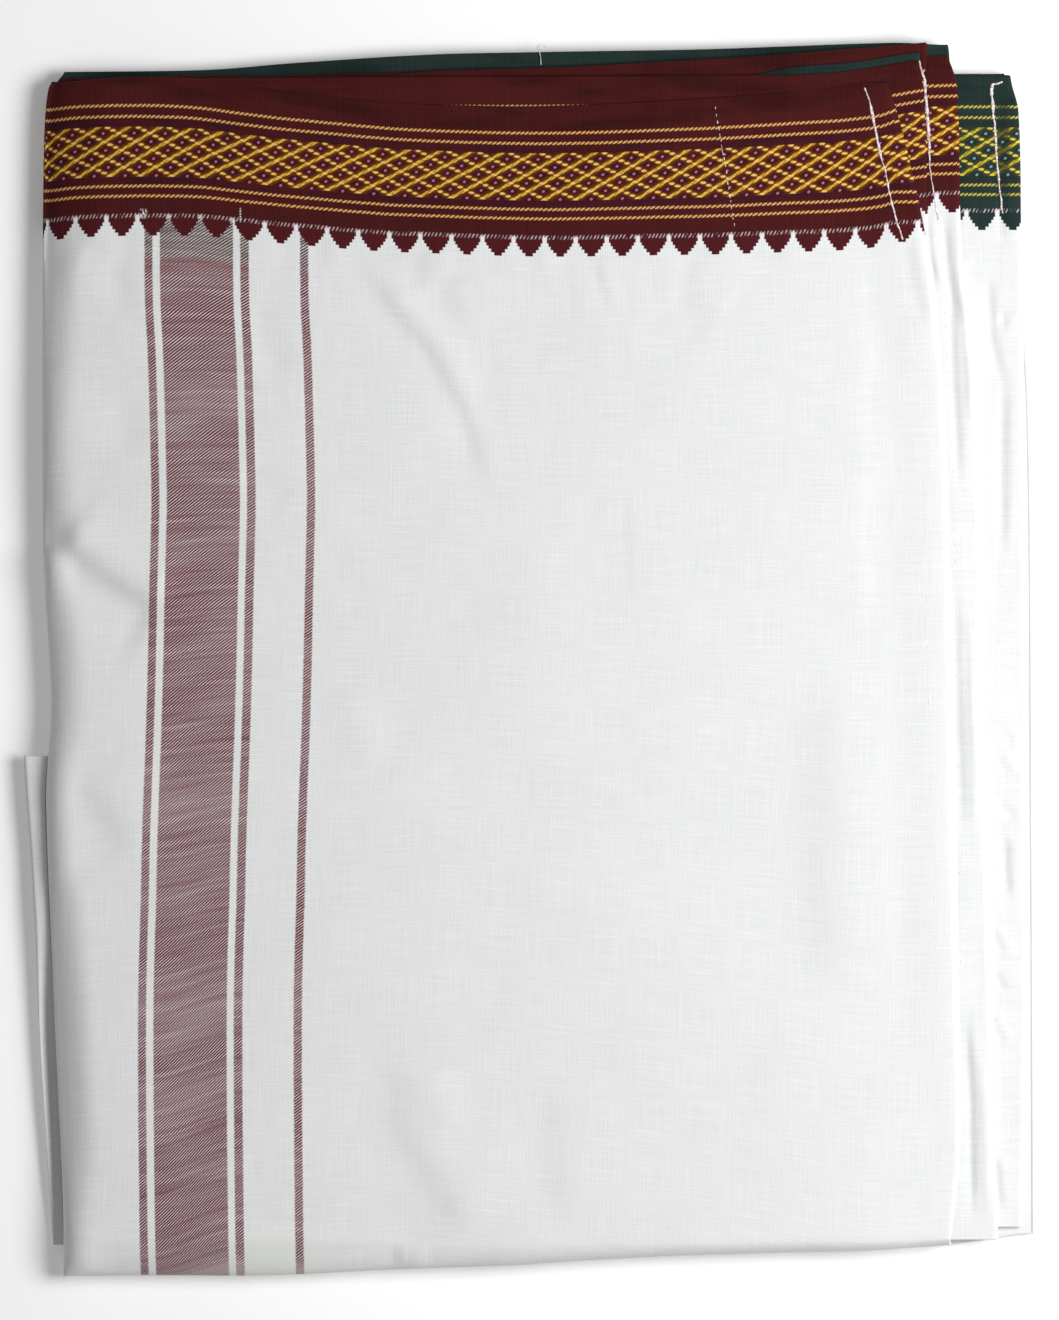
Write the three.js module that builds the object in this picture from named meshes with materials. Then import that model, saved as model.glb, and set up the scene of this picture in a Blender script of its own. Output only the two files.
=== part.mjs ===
// A folded gamcha: a long hand-woven cotton cloth, maroon along one selvedge and green along
// the other. It is doubled across its width, so that the fold lies at -Y and both selvedges
// at +Y, then folded into panels along its length, and lies flat. The folds at +X are stepped.
// Millimetres, +Z up, standing on z = 0 with the origin under the middle of its box.
import * as THREE from "three";

// ---- Driving dimensions ----
const WALL = 1.0; // one stretch of cloth
const GAP = 0.3; // air between stretches and at seams
const PITCH = WALL + GAP;
const FRONT_TOP = 13.4; // height of the front face
const FRONT_LIP = 6.4; // where the front stretch's rolled edges end
const BACK_LIP = 3.0; // where the back stretch's rolled edges end
const LEFT_ROLL = 9; // width of the front's rolled left edge
const BACK_ROLL = 4; // width of the back's rolled edges
const RIGHT_ROLL = { width: 2, drop: 1.1 }; // the front's flat right-hand fold
const NOSE = { width: 1.2, drop: 0.98 }; // the rounded end of a flat stretch
const BORDER_DEPTH = 52.5; // selvedge to just past the border's toothed edge
const BAND_LOW = 124; // where the stretches under the front border end
const STRIP_LEFT = 85; // where the right-hand fold strips leave the hidden layers
const HAIRPIN = 2 * WALL + GAP; // thickness of a stretch folded back on itself
const UNDER_FRONT = 3; // how far hidden folds stay inside the front's right edge
const LEFT_END = -152.5;
const RIGHT_END = 158.4;
const TONGUE_TOP = -30.6; // where the stretch that shows at the left begins
const TONGUE_LOW = -180;
const THIRD_LOW = -181.6; // the bottom folds of the stepped strips
const FOURTH_LOW = -177.8;
const ROLL_CLEARANCE = 0.8; // beside the rolled left edge
const ROLL_STEPS = 5;
const HIDDEN_STEPS = { upright: 14, level: 10 }; // along the sides of the hidden layers
const BACK_COLUMNS = 12;
const FRONT_COLUMNS = 18; // alike in the border and the body, so that their seam matches
const CORNER_STEPS = 5;
const CORNER_RADIUS = 7; // of the hidden layers, where two rolled edges meet

// The tops of the stretches under the front border, counted down from the front.
const levelUnderFront = (count) => FRONT_TOP - count * PITCH;
const THIRD_TOP = levelUnderFront(4);
const FOURTH_TOP = levelUnderFront(6);

const COLOURS = {
  white: 0xe9e8e4,
  maroon: 0x4f151a,
  green: 0x1f3d3c,
};

// ---- Outlines: short tables, read as smooth curves ----
const LEFT_EDGE = [
  { y: 193.4, x: -147 },
  { y: 184, x: -147.5 },
  { y: 179.4, x: -150.5 },
  { y: 156, x: -152 },
  { y: 34, x: -152.3 },
  { y: -12.8, x: -149.7 },
  { y: -44, x: -151.3 },
  { y: -106.6, x: -148.8 },
  { y: -169, x: -146.1 },
  { y: -193.4, x: -145.9 },
];
const FRONT_RIGHT_EDGE = [
  { y: 180, x: 112 },
  { y: 143.4, x: 121.3 },
  { y: 112, x: 126.6 },
  { y: 74.7, x: 130 },
  { y: -75, x: 133.1 },
  { y: -153, x: 134.7 },
  { y: -184, x: 132.2 },
];
const SECOND_RIGHT_EDGE = [
  { y: 187, x: 122.5 },
  { y: 172, x: 123.8 },
  { y: 124, x: 125 },
];
const GREEN_FOLD_RIGHT_EDGE = [
  { y: 190, x: 122.6 },
  { y: 124, x: 124.2 },
];
const RAISED_RIGHT_EDGE = [
  { y: 193.4, x: 125 },
  { y: 187, x: 124.6 },
  { y: 180, x: 123.4 },
  { y: 124, x: 124.4 },
];
const GREEN_TOP_RIGHT_EDGE = [
  { y: 192, x: 130.7 },
  { y: 124, x: 133 },
];
const THIRD_RIGHT_EDGE = [
  { y: 189, x: 131.5 },
  { y: 179, x: 134 },
  { y: 124, x: 135.6 },
  { y: 74.7, x: 139.7 },
  { y: -44, x: 142.5 },
  { y: -181.6, x: 146.9 },
];
const FOURTH_RIGHT_EDGE = [
  { y: 183.4, x: 150 },
  { y: 172, x: 152.2 },
  { y: 81, x: 154.7 },
  { y: -106, x: 155.6 },
  { y: -177.8, x: 154.7 },
];
const BACK_RIGHT_EDGE = [
  { y: 183.4, x: 149.1 },
  { y: 136, x: 152.5 },
  { y: 81, x: 156.6 },
  { y: -60, x: 157.9 },
  { y: -180.3, x: RIGHT_END },
];
const TONGUE_EDGE = [
  { y: TONGUE_TOP, x: -RIGHT_END },
  { y: -81.6, x: -154.4 },
  { y: -122, x: -152.3 },
  { y: TONGUE_LOW, x: -147.6 },
];
const BOTTOM_EDGE = [
  { x: -146, y: -193.4 },
  { x: -71.6, y: -192.5 },
  { x: 6.6, y: -188.4 },
  { x: 84.7, y: -185.3 },
  { x: 130, y: -184.1 },
  { x: 158.4, y: -180.3 },
];
const BOTTOM_ROLL = [
  { x: -146, width: 11 },
  { x: 0, width: 8 },
  { x: 130, width: 4 },
];
// Selvedges, from the front to the back.
const FRONT_SELVEDGE = [
  { x: -147.5, y: 181.6 },
  { x: -102.8, y: 180.9 },
  { x: -55.9, y: 176.9 },
  { x: -9.1, y: 173.1 },
  { x: 26.9, y: 173.3 },
  { x: 78.4, y: 175.9 },
  { x: 106.6, y: 177.8 },
  { x: 112.5, y: 179.7 },
];
const SECOND_SELVEDGE = [
  { x: -147.5, y: 181.3 },
  { x: -40, y: 181.8 },
  { x: 84.7, y: 182.5 },
  { x: 103.4, y: 183.8 },
  { x: 123.8, y: 187 },
];
const GREEN_FOLD_SELVEDGE = [
  { x: -147.5, y: 180.4 },
  { x: 60, y: 181 },
  { x: 84.7, y: 185 },
  { x: 103.4, y: 186.6 },
  { x: 122.8, y: 189.6 },
];
const RAISED_SELVEDGE = [
  { x: -147.5, y: 181.6 },
  { x: -102.8, y: 182.5 },
  { x: -57.5, y: 181.6 },
  { x: -30.9, y: 183.8 },
  { x: 6.6, y: 185 },
  { x: 34.7, y: 186.4 },
  { x: 72.2, y: 188.8 },
  { x: 124.4, y: 193.4 },
];
const THIRD_SELVEDGE = [
  { x: -147.5, y: 180.5 },
  { x: 84.7, y: 187.2 },
  { x: 134.7, y: 188.8 },
];
const GREEN_TOP_SELVEDGE = [
  { x: -147.5, y: 183.8 },
  { x: -102.8, y: 184.4 },
  { x: -74.7, y: 186.6 },
  { x: -30.9, y: 189.2 },
  { x: 3.4, y: 190 },
  { x: 53.4, y: 190.8 },
  { x: 115.9, y: 192.8 },
  { x: 130.9, y: 191.4 },
];
const FOURTH_SELVEDGE = 182.8;
const BACK_SELVEDGE = [
  { x: -147.5, y: 181 },
  { x: 150, y: 183.4 },
];

// The front face's largest soft folds: a ridge of this height along a line at this angle.
const RIDGES = [
  { x: -36.6, y: 104.4, angle: -48, length: 54, width: 6, height: 0.8 },
  { x: -131, y: 22, angle: -30, length: 40, width: 8, height: 1.2 },
  { x: -137, y: -55, angle: -80, length: 60, width: 7, height: 0.9 },
  { x: 112, y: 60, angle: 88, length: 110, width: 7, height: 0.8 },
  { x: 92, y: -60, angle: 86, length: 100, width: 8, height: 0.7 },
  { x: -40, y: -150, angle: 20, length: 70, width: 9, height: 0.6 },
];

// The sides of the hidden layers where they show, as a height and an inset from the outline.
const LAYERED_SIDE = [
  { z: 1.3, inset: 4.6 },
  { z: 2.0, inset: 2.9 },
  { z: 3.0, inset: 2.3 },
  { z: 3.05, inset: 0.9 },
  { z: 3.8, inset: 0.2 },
  { z: 4.6, inset: 0.9 },
  { z: 5.3, inset: 0.2 },
  { z: 6.0, inset: 1.4 },
];
const LEDGE_Z = 3.02; // above it the hidden layers stop short of the fold strips
const HIDDEN_HEIGHTS = [0.12, 0.36, 0.369, 0.6, 0.8, 0.93, 1]; // shares of the rise to the top
const STEP_SHARE = 0.365; // above it the hidden layers reach over the fold strips

// ---- Curves ----
const lerp = (a, b, t) => a + (b - a) * t;

// Reads a table as a smooth curve through its rows.
function curve(rows, key, value) {
  const sorted = [...rows].sort((a, b) => a[key] - b[key]);
  const last = sorted.length - 1;
  const slope = (i) => {
    const a = sorted[Math.max(i - 1, 0)];
    const b = sorted[Math.min(i + 1, last)];
    return (b[value] - a[value]) / (b[key] - a[key]);
  };
  return (at) => {
    const x = Math.min(Math.max(at, sorted[0][key]), sorted[last][key]);
    let i = 0;
    while (i < last - 1 && x > sorted[i + 1][key]) i += 1;
    const span = sorted[i + 1][key] - sorted[i][key];
    const t = (x - sorted[i][key]) / span;
    const [m0, m1] = [slope(i) * span, slope(i + 1) * span];
    const [p0, p1] = [sorted[i][value], sorted[i + 1][value]];
    const t2 = t * t;
    const t3 = t2 * t;
    return (
      (2 * t3 - 3 * t2 + 1) * p0 + (t3 - 2 * t2 + t) * m0 + (3 * t2 - 2 * t3) * p1 + (t3 - t2) * m1
    );
  };
}

const edge = (rows) => curve(rows, "y", "x"); // x of an upright edge, by y
const rim = (rows) => curve(rows, "x", "y"); // y of a level edge, by x

const leftEdge = edge(LEFT_EDGE);
const frontRight = edge(FRONT_RIGHT_EDGE);
const backRight = edge(BACK_RIGHT_EDGE);
const bottomEdge = rim(BOTTOM_EDGE);
const bottomRoll = curve(BOTTOM_ROLL, "x", "width");
const frontSelvedge = rim(FRONT_SELVEDGE);
const bandLow = () => BAND_LOW + GAP;

// How far the front's soft folds lift a point of its face.
function ridges(x, y) {
  let lift = 0;
  for (const r of RIDGES) {
    const a = THREE.MathUtils.degToRad(r.angle);
    const along = (x - r.x) * Math.cos(a) + (y - r.y) * Math.sin(a);
    const across = (y - r.y) * Math.cos(a) - (x - r.x) * Math.sin(a);
    const fade = Math.exp(-((2 * along) ** 4) / r.length ** 4);
    lift += r.height * fade * Math.exp(-(across ** 2) / r.width ** 2);
  }
  return lift;
}

// ---- Closed bodies ----
// Closes two matching grids of points into one body with its faces pointing out.
function body(outer, inner) {
  const columns = outer.length;
  const rows = outer[0].length;
  const points = [...outer.flat(), ...inner.flat()];
  const at = (layer, i, j) => layer * columns * rows + i * rows + j;
  const faces = [];
  const quad = (a, b, c, d) => faces.push(a, b, c, a, c, d);
  for (let i = 0; i < columns - 1; i += 1) {
    for (let j = 0; j < rows - 1; j += 1) {
      quad(at(0, i, j), at(0, i + 1, j), at(0, i + 1, j + 1), at(0, i, j + 1));
      quad(at(1, i, j), at(1, i, j + 1), at(1, i + 1, j + 1), at(1, i + 1, j));
    }
    quad(at(0, i, 0), at(1, i, 0), at(1, i + 1, 0), at(0, i + 1, 0));
    quad(at(0, i, rows - 1), at(0, i + 1, rows - 1), at(1, i + 1, rows - 1), at(1, i, rows - 1));
  }
  for (let j = 0; j < rows - 1; j += 1) {
    const right = columns - 1;
    quad(at(0, 0, j), at(0, 0, j + 1), at(1, 0, j + 1), at(1, 0, j));
    quad(at(0, right, j), at(1, right, j), at(1, right, j + 1), at(0, right, j + 1));
  }
  return closedGeometry(points, faces);
}

function closedGeometry(points, faces) {
  let volume = 0;
  const [a, b, c] = [new THREE.Vector3(), new THREE.Vector3(), new THREE.Vector3()];
  for (let i = 0; i < faces.length; i += 3) {
    a.fromArray(points[faces[i]]);
    b.fromArray(points[faces[i + 1]]);
    c.fromArray(points[faces[i + 2]]);
    volume += a.dot(b.cross(c));
  }
  const geometry = new THREE.BufferGeometry();
  geometry.setAttribute("position", new THREE.Float32BufferAttribute(points.flat(), 3));
  geometry.setIndex(volume > 0 ? faces : faces.reverse());
  geometry.computeVertexNormals();
  return geometry;
}

// The stations across one direction of a stretch: an arc at each rolled end, plain steps between.
function stations(startRoll, endRoll, steps) {
  const arc = (end) =>
    Array.from({ length: ROLL_STEPS }, (_, i) => ({ end, angle: (i / ROLL_STEPS) * (Math.PI / 2) }));
  const flat = Array.from({ length: steps + 1 }, (_, i) => ({ share: i / steps }));
  return [...(startRoll ? arc(0) : []), ...flat, ...(endRoll ? arc(1).reverse() : [])];
}

// Where a station lies between two ends, and how far the cloth has dropped there.
function place(station, start, end, startRoll, endRoll, inset) {
  const trimmed = (roll) => ({ width: roll.width - inset, drop: roll.drop - inset });
  const first = startRoll ? trimmed(startRoll) : { width: 0, drop: 0 };
  const second = endRoll ? trimmed(endRoll) : { width: 0, drop: 0 };
  const low = start + (startRoll ? inset : 0);
  const high = end - (endRoll ? inset : 0);
  if (station.end === 0) {
    const run = first.width * (1 - Math.cos(station.angle));
    return { at: low + run, drop: first.drop * (1 - Math.sin(station.angle)) };
  }
  if (station.end === 1) {
    const run = second.width * (1 - Math.cos(station.angle));
    return { at: high - run, drop: second.drop * (1 - Math.sin(station.angle)) };
  }
  return { at: lerp(low + first.width, high - second.width, station.share), drop: 0 };
}

// One stretch of cloth between four edges, face up or face down, with any edge rolled over.
function stretch(spec) {
  const { left, right, low, high, level, rolls = {}, faceDown = false } = spec;
  const { columns = 24, rows = 6, relief = () => 0 } = spec;
  const across = stations(rolls.left, rolls.right, columns);
  const along = stations(rolls.low, rolls.high, rows);
  const deepest = Math.max(...["left", "low"].map((side) => rolls[side]?.drop ?? 0), WALL);
  const pointAt = (i, j, inset) => {
    const guess = lerp(left(0), right(0), across[i].share ?? across[i].end);
    const lowRoll = rolls.low && { ...rolls.low, width: rolls.low.widthAt(guess) };
    const upright = place(along[j], low(guess), high(guess), lowRoll, rolls.high, inset);
    const y = upright.at;
    const sideways = place(across[i], left(y), right(y), rolls.left, rolls.right, inset);
    const [a, b] = [sideways.drop, upright.drop];
    const drop = a + b - (a * b) / Math.max(deepest - inset, WALL);
    const lift = relief(sideways.at, y) * (1 - Math.min(drop / deepest, 1));
    const z = faceDown ? level + inset + drop : level - inset - drop + lift;
    return [sideways.at, y, z];
  };
  const grid = (inset) => across.map((_, i) => along.map((_, j) => pointAt(i, j, inset)));
  return body(grid(0), grid(WALL));
}

// A stretch folded back on itself at one edge, as a wall round a narrow slit. side is 1 where
// the fold is at +X and -1 where it is at -X.
function hairpin({ open, fold, low, high, top, side = 1, rows = 10 }) {
  const radius = HAIRPIN / 2;
  const turns = ROLL_STEPS * 2;
  const arc = Array.from({ length: turns + 1 }, (_, i) => Math.PI * (0.5 - i / turns));
  const heights = Array.from({ length: rows + 1 }, (_, j) => lerp(low, high, j / rows));
  const section = (y, inset) => {
    const centre = fold(y) - side * radius;
    const nose = arc.map((a) => [
      centre + side * (radius - inset) * Math.cos(a),
      y,
      top - radius + (radius - inset) * Math.sin(a),
    ]);
    return [[open(y), y, top - inset], ...nose, [open(y), y, top - HAIRPIN + inset]];
  };
  const grid = (inset) => {
    const sections = heights.map((y) => section(y, inset));
    return sections[0].map((_, i) => sections.map((s) => s[i]));
  };
  return body(grid(0), grid(WALL));
}

// ---- The stretches that show ----
const frontSplit = (x) => frontSelvedge(x) - BORDER_DEPTH;
const leftRoll = { width: LEFT_ROLL, drop: FRONT_TOP - FRONT_LIP };

const frontBorder = () =>
  stretch({
    left: leftEdge,
    right: frontRight,
    low: (x) => frontSplit(x) + GAP / 2,
    high: frontSelvedge,
    level: FRONT_TOP,
    rolls: { left: leftRoll, right: RIGHT_ROLL },
    columns: FRONT_COLUMNS,
  });

const frontBody = () =>
  stretch({
    left: leftEdge,
    right: frontRight,
    low: bottomEdge,
    high: (x) => frontSplit(x) - GAP / 2,
    level: FRONT_TOP,
    rolls: {
      left: leftRoll,
      right: RIGHT_ROLL,
      low: { widthAt: bottomRoll, drop: FRONT_TOP - FRONT_LIP },
    },
    columns: FRONT_COLUMNS,
    rows: 18,
    relief: ridges,
  });

// How far inside the left outline the front's rolled edge leaves room at a height.
function insideRoll(z) {
  const share = THREE.MathUtils.clamp((z - FRONT_LIP) / (FRONT_TOP - WALL - FRONT_LIP), 0, 1);
  return WALL + GAP + (LEFT_ROLL - WALL) * (1 - Math.sqrt(1 - share ** 2)) + ROLL_CLEARANCE;
}

// A flat stretch in the border, under the front one.
function band(selvedge, rightEdge, top) {
  return stretch({
    left: (y) => leftEdge(y) + insideRoll(top),
    right: edge(rightEdge),
    low: bandLow,
    high: rim(selvedge),
    level: top,
    rolls: { right: NOSE },
    columns: 16,
    rows: 2,
  });
}

const foldStrip = (rightEdge, low, top) =>
  hairpin({ open: () => STRIP_LEFT, fold: edge(rightEdge), low, high: BAND_LOW, top });

const fourthBorder = () =>
  hairpin({
    open: (y) => leftEdge(y) + GAP + WALL,
    fold: edge(FOURTH_RIGHT_EDGE),
    low: bandLow(),
    high: FOURTH_SELVEDGE,
    top: FOURTH_TOP,
    rows: 6,
  });

const tongue = () =>
  hairpin({
    open: (y) => leftEdge(y) - GAP,
    fold: edge(TONGUE_EDGE),
    low: TONGUE_LOW,
    high: TONGUE_TOP,
    top: FRONT_LIP - GAP,
    side: -1,
    rows: 8,
  });

const backRolls = {
  left: { width: BACK_ROLL, drop: BACK_LIP },
  right: { width: BACK_ROLL, drop: BACK_LIP },
};

const backBorder = () =>
  stretch({
    left: leftEdge,
    right: backRight,
    low: () => BAND_LOW + GAP / 2,
    high: rim(BACK_SELVEDGE),
    level: 0,
    rolls: backRolls,
    faceDown: true,
    columns: BACK_COLUMNS,
    rows: 4,
  });

const backBody = () =>
  stretch({
    left: leftEdge,
    right: backRight,
    low: bottomEdge,
    high: () => BAND_LOW - GAP / 2,
    level: 0,
    rolls: { ...backRolls, low: { widthAt: () => BACK_ROLL, drop: BACK_LIP } },
    faceDown: true,
    columns: BACK_COLUMNS,
    rows: 6,
  });

// ---- The hidden layers: one rounded solid, layered where its sides show ----
// One level outline. rise is the share of the height inside the front's rolled edges, and
// inset the distance inside the outline where that share is 0.
function hiddenLoop({ z, rise, inset }) {
  const below = z < LEDGE_Z;
  const over = rise > STEP_SHARE;
  const strip = () => STRIP_LEFT - GAP;
  const right = below
    ? (y) => backRight(y) - inset
    : over
      ? (y) => Math.min(frontRight(y), frontRight(BAND_LOW)) - UNDER_FRONT
      : strip;
  const top = below ? (x) => rim(BACK_SELVEDGE)(x) - inset : () => BAND_LOW - GAP;
  const run = (width, sine) => inset + (width - inset) * (1 - Math.sqrt(1 - sine ** 2));
  const leftAt = (y, sine) => leftEdge(y) + run(LEFT_ROLL, sine);
  const bottomAt = (x, sine) => bottomEdge(x) + run(bottomRoll(x), sine);
  const { upright: upSteps, level: levelSteps } = HIDDEN_STEPS;
  const start = top(LEFT_END);
  const cornerY = bottomAt(LEFT_END, rise) + CORNER_RADIUS;
  const cornerX = leftAt(cornerY, rise) + CORNER_RADIUS;
  const loop = [];
  for (let i = 0; i <= upSteps; i += 1) {
    const y = lerp(start, cornerY, i / upSteps);
    loop.push([leftAt(y, rise), y, z]);
  }
  for (let i = 1; i < CORNER_STEPS; i += 1) {
    const turn = (i / CORNER_STEPS) * (Math.PI / 2);
    loop.push([cornerX - CORNER_RADIUS * Math.cos(turn), cornerY - CORNER_RADIUS * Math.sin(turn), z]);
  }
  const endX = right(bottomEdge(RIGHT_END));
  for (let i = 0; i <= levelSteps; i += 1) {
    const x = lerp(cornerX, endX, i / levelSteps);
    loop.push([x, bottomAt(x, rise), z]);
  }
  const bottomRightY = bottomAt(endX, rise);
  for (let i = 1; i <= upSteps; i += 1) {
    const y = lerp(bottomRightY, top(endX), i / upSteps);
    loop.push([right(y), y, z]);
  }
  const topRightX = right(top(endX));
  const topLeftX = leftAt(start, rise);
  for (let i = 1; i < levelSteps; i += 1) {
    const x = lerp(topRightX, topLeftX, i / levelSteps);
    loop.push([x, top(x), z]);
  }
  return loop;
}

function hiddenLayers() {
  const roof = FRONT_TOP - WALL - GAP;
  const insetAbove = LAYERED_SIDE.at(-1).inset;
  const loops = [
    ...LAYERED_SIDE.map((row) => hiddenLoop({ ...row, rise: 0 })),
    ...HIDDEN_HEIGHTS.map((share) =>
      hiddenLoop({ z: lerp(FRONT_LIP, roof, share), rise: share, inset: insetAbove }),
    ),
  ];
  const count = loops[0].length;
  const points = loops.flat();
  const faces = [];
  for (let k = 0; k < loops.length - 1; k += 1) {
    for (let i = 0; i < count; i += 1) {
      const [a, b] = [k * count + i, k * count + ((i + 1) % count)];
      faces.push(a, b, b + count, a, b + count, a + count);
    }
  }
  const flat = (loop) => loop.map(([x, y]) => new THREE.Vector2(x, y));
  const last = (loops.length - 1) * count;
  for (const [a, b, c] of THREE.ShapeUtils.triangulateShape(flat(loops[0]), [])) {
    faces.push(a, c, b);
  }
  for (const [a, b, c] of THREE.ShapeUtils.triangulateShape(flat(loops.at(-1)), [])) {
    faces.push(last + a, last + b, last + c);
  }
  return closedGeometry(points, faces);
}

// ---- The scene graph ----
const gamcha = new THREE.Group();

function add(name, geometry, colour, roughness = 0.92) {
  const material = new THREE.MeshStandardMaterial({ color: colour, roughness, metalness: 0 });
  const mesh = new THREE.Mesh(geometry, material);
  mesh.name = name;
  gamcha.add(mesh);
}

const BORDER_ROUGHNESS = 0.8;

add("front_body", frontBody(), COLOURS.white);
add("front_border", frontBorder(), COLOURS.maroon, BORDER_ROUGHNESS);
// The stretches under the front border, from the front to the back.
const BANDS = [
  ["second_border", SECOND_SELVEDGE, SECOND_RIGHT_EDGE, COLOURS.maroon],
  ["green_fold_border", GREEN_FOLD_SELVEDGE, GREEN_FOLD_RIGHT_EDGE, COLOURS.green],
  ["raised_border", RAISED_SELVEDGE, RAISED_RIGHT_EDGE, COLOURS.maroon],
  ["third_border", THIRD_SELVEDGE, THIRD_RIGHT_EDGE, COLOURS.maroon],
  ["green_top_border", GREEN_TOP_SELVEDGE, GREEN_TOP_RIGHT_EDGE, COLOURS.green],
];
BANDS.forEach(([name, selvedge, right, colour], index) => {
  add(name, band(selvedge, right, levelUnderFront(index + 1)), colour, BORDER_ROUGHNESS);
});
add("third_body", foldStrip(THIRD_RIGHT_EDGE, THIRD_LOW, THIRD_TOP), COLOURS.white);
add("fourth_border", fourthBorder(), COLOURS.green, BORDER_ROUGHNESS);
add("fourth_body", foldStrip(FOURTH_RIGHT_EDGE, FOURTH_LOW, FOURTH_TOP), COLOURS.white);
add("left_tongue", tongue(), COLOURS.white);
add("hidden_layers", hiddenLayers(), COLOURS.white);
add("back_body", backBody(), COLOURS.white);
add("back_border", backBorder(), COLOURS.maroon, BORDER_ROUGHNESS);

export default gamcha;
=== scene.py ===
"""A folded gamcha, lying flat with its maroon and gold border at the top.

Every piece is a thin shell of cloth on the form of its CAD solid, with its main folds and
creases as geometry and its weave as node materials that read the cloth's own flat coordinates.
"""

import functools
import math

import bpy
import numpy as np
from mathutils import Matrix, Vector
from mathutils.bvhtree import BVHTree


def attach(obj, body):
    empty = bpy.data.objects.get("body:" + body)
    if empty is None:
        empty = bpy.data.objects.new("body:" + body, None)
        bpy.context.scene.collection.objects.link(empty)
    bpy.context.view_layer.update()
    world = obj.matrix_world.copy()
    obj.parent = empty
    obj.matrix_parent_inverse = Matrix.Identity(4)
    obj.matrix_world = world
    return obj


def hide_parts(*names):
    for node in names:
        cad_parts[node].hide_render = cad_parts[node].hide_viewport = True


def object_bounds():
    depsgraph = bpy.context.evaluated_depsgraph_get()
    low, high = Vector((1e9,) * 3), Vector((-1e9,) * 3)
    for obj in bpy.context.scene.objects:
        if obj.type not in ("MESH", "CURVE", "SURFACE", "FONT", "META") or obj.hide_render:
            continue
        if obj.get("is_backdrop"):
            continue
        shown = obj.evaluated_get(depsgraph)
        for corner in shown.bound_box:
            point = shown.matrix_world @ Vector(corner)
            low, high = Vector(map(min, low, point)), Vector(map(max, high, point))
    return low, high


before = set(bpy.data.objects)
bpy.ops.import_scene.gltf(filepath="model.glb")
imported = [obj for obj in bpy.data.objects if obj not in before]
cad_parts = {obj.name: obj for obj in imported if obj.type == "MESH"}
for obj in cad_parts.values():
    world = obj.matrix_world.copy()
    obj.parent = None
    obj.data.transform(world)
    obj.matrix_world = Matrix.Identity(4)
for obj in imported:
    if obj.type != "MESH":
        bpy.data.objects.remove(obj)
CAD_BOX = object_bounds()

# ---- Driving sizes, in millimetres. MM turns them into Blender's metres ----
MM = 0.001
CLOTH = 0.7  # the front's and back's thickness, with the air that the weave holds
THIN = 0.6  # the thickness of the stretches between them
FRONT_TOP = 13.4  # how high each stretch's top lies over the floor
SECOND_TOP = 12.1
GREEN_FOLD_TOP = 10.8
RAISED_TOP = 9.5
THIRD_TOP = 8.2
GREEN_TOP_TOP = 6.9
FOURTH_TOP = 5.6
TONGUE_TOP = 6.1
FRONT_LIP = 6.4  # the rolled edges end at these heights
BACK_LIP = 3.0
LEFT_ROLL = 9.0
BACK_ROLL = 4.0
BORDER_DEPTH = 52.5
BAND_LOW = 124.0
STRIP_LEFT = 85.0
HAIRPIN = 2.3  # the height of a folded edge
HAIRPIN_STEPS = 9
SEAM_REACH = 7.0  # a stretch's own waves die out this near its other stretch
STEP = 1.7  # spacing of the front panel's grid

# ---- Outlines: rows of (y, x) for upright edges ----
LEFT_EDGE = [
    (193.4, -147), (184, -147.5), (179.4, -150.5), (156, -152), (34, -152.3),
    (-12.8, -149.7), (-44, -151.3), (-106.6, -148.8), (-169, -146.1), (-193.4, -145.9),
]
FRONT_RIGHT_EDGE = [
    (180, 112), (143.4, 121.3), (112, 126.6), (74.7, 130), (-75, 133.1), (-153, 134.7),
    (-184, 132.2),
]
SECOND_RIGHT_EDGE = [(187, 122.5), (172, 123.8), (124, 125)]
GREEN_FOLD_RIGHT_EDGE = [(190, 122.6), (124, 124.2)]
RAISED_RIGHT_EDGE = [(193.4, 125), (187, 124.6), (180, 123.4), (124, 124.4)]
GREEN_TOP_RIGHT_EDGE = [(192, 131.8), (124, 133)]
THIRD_RIGHT_EDGE = [
    (189, 131.5), (179, 134), (124, 135.6), (74.7, 139.7), (-44, 142.5), (-181.6, 146.9),
]
FOURTH_RIGHT_EDGE = [
    (183.4, 150.8), (180, 151.4), (172, 153.3), (140, 154.2), (81, 154.9), (-106, 155.6),
    (-177.8, 154.7),
]
BACK_RIGHT_EDGE = [(183.4, 149.1), (136, 152.5), (81, 156.6), (-60, 157.9), (-180.3, 158.4)]
TONGUE_EDGE = [(-30.6, -158.4), (-81.6, -155), (-122, -153.4), (-183.6, -149.4)]
TONGUE_LOW, TONGUE_HIGH = -183.6, -30.6
THIRD_LOW, FOURTH_LOW, FOURTH_HIGH = -181.6, -177.8, 182.8

# Rows of (x, y) for level edges.
BOTTOM_EDGE = [
    (-146, -193.4), (-71.6, -192.5), (6.6, -188.4), (84.7, -185.3), (130, -184.1),
    (158.4, -180.3),
]
BOTTOM_ROLL = [(-146, 10), (-60, 9.2), (0, 6), (60, 4), (130, 3)]  # x, width
SECOND_SELVEDGE = [
    (-147.5, 181.3), (-40, 181.8), (84.7, 182.5), (103.4, 183.8), (123.8, 187),
]
GREEN_FOLD_SELVEDGE = [(-147.5, 180.4), (60, 181), (84.7, 185), (103.4, 186.6), (122.8, 189.6)]
RAISED_SELVEDGE = [
    (-147.5, 181.6), (-102.8, 182.5), (-57.5, 181.6), (-30.9, 183.8), (6.6, 185),
    (34.7, 186.4), (72.2, 188.6), (110, 191.6), (124.4, 192.8),
]
THIRD_SELVEDGE = [(-147.5, 180.5), (84.7, 187.2), (134.7, 188.8)]
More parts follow.
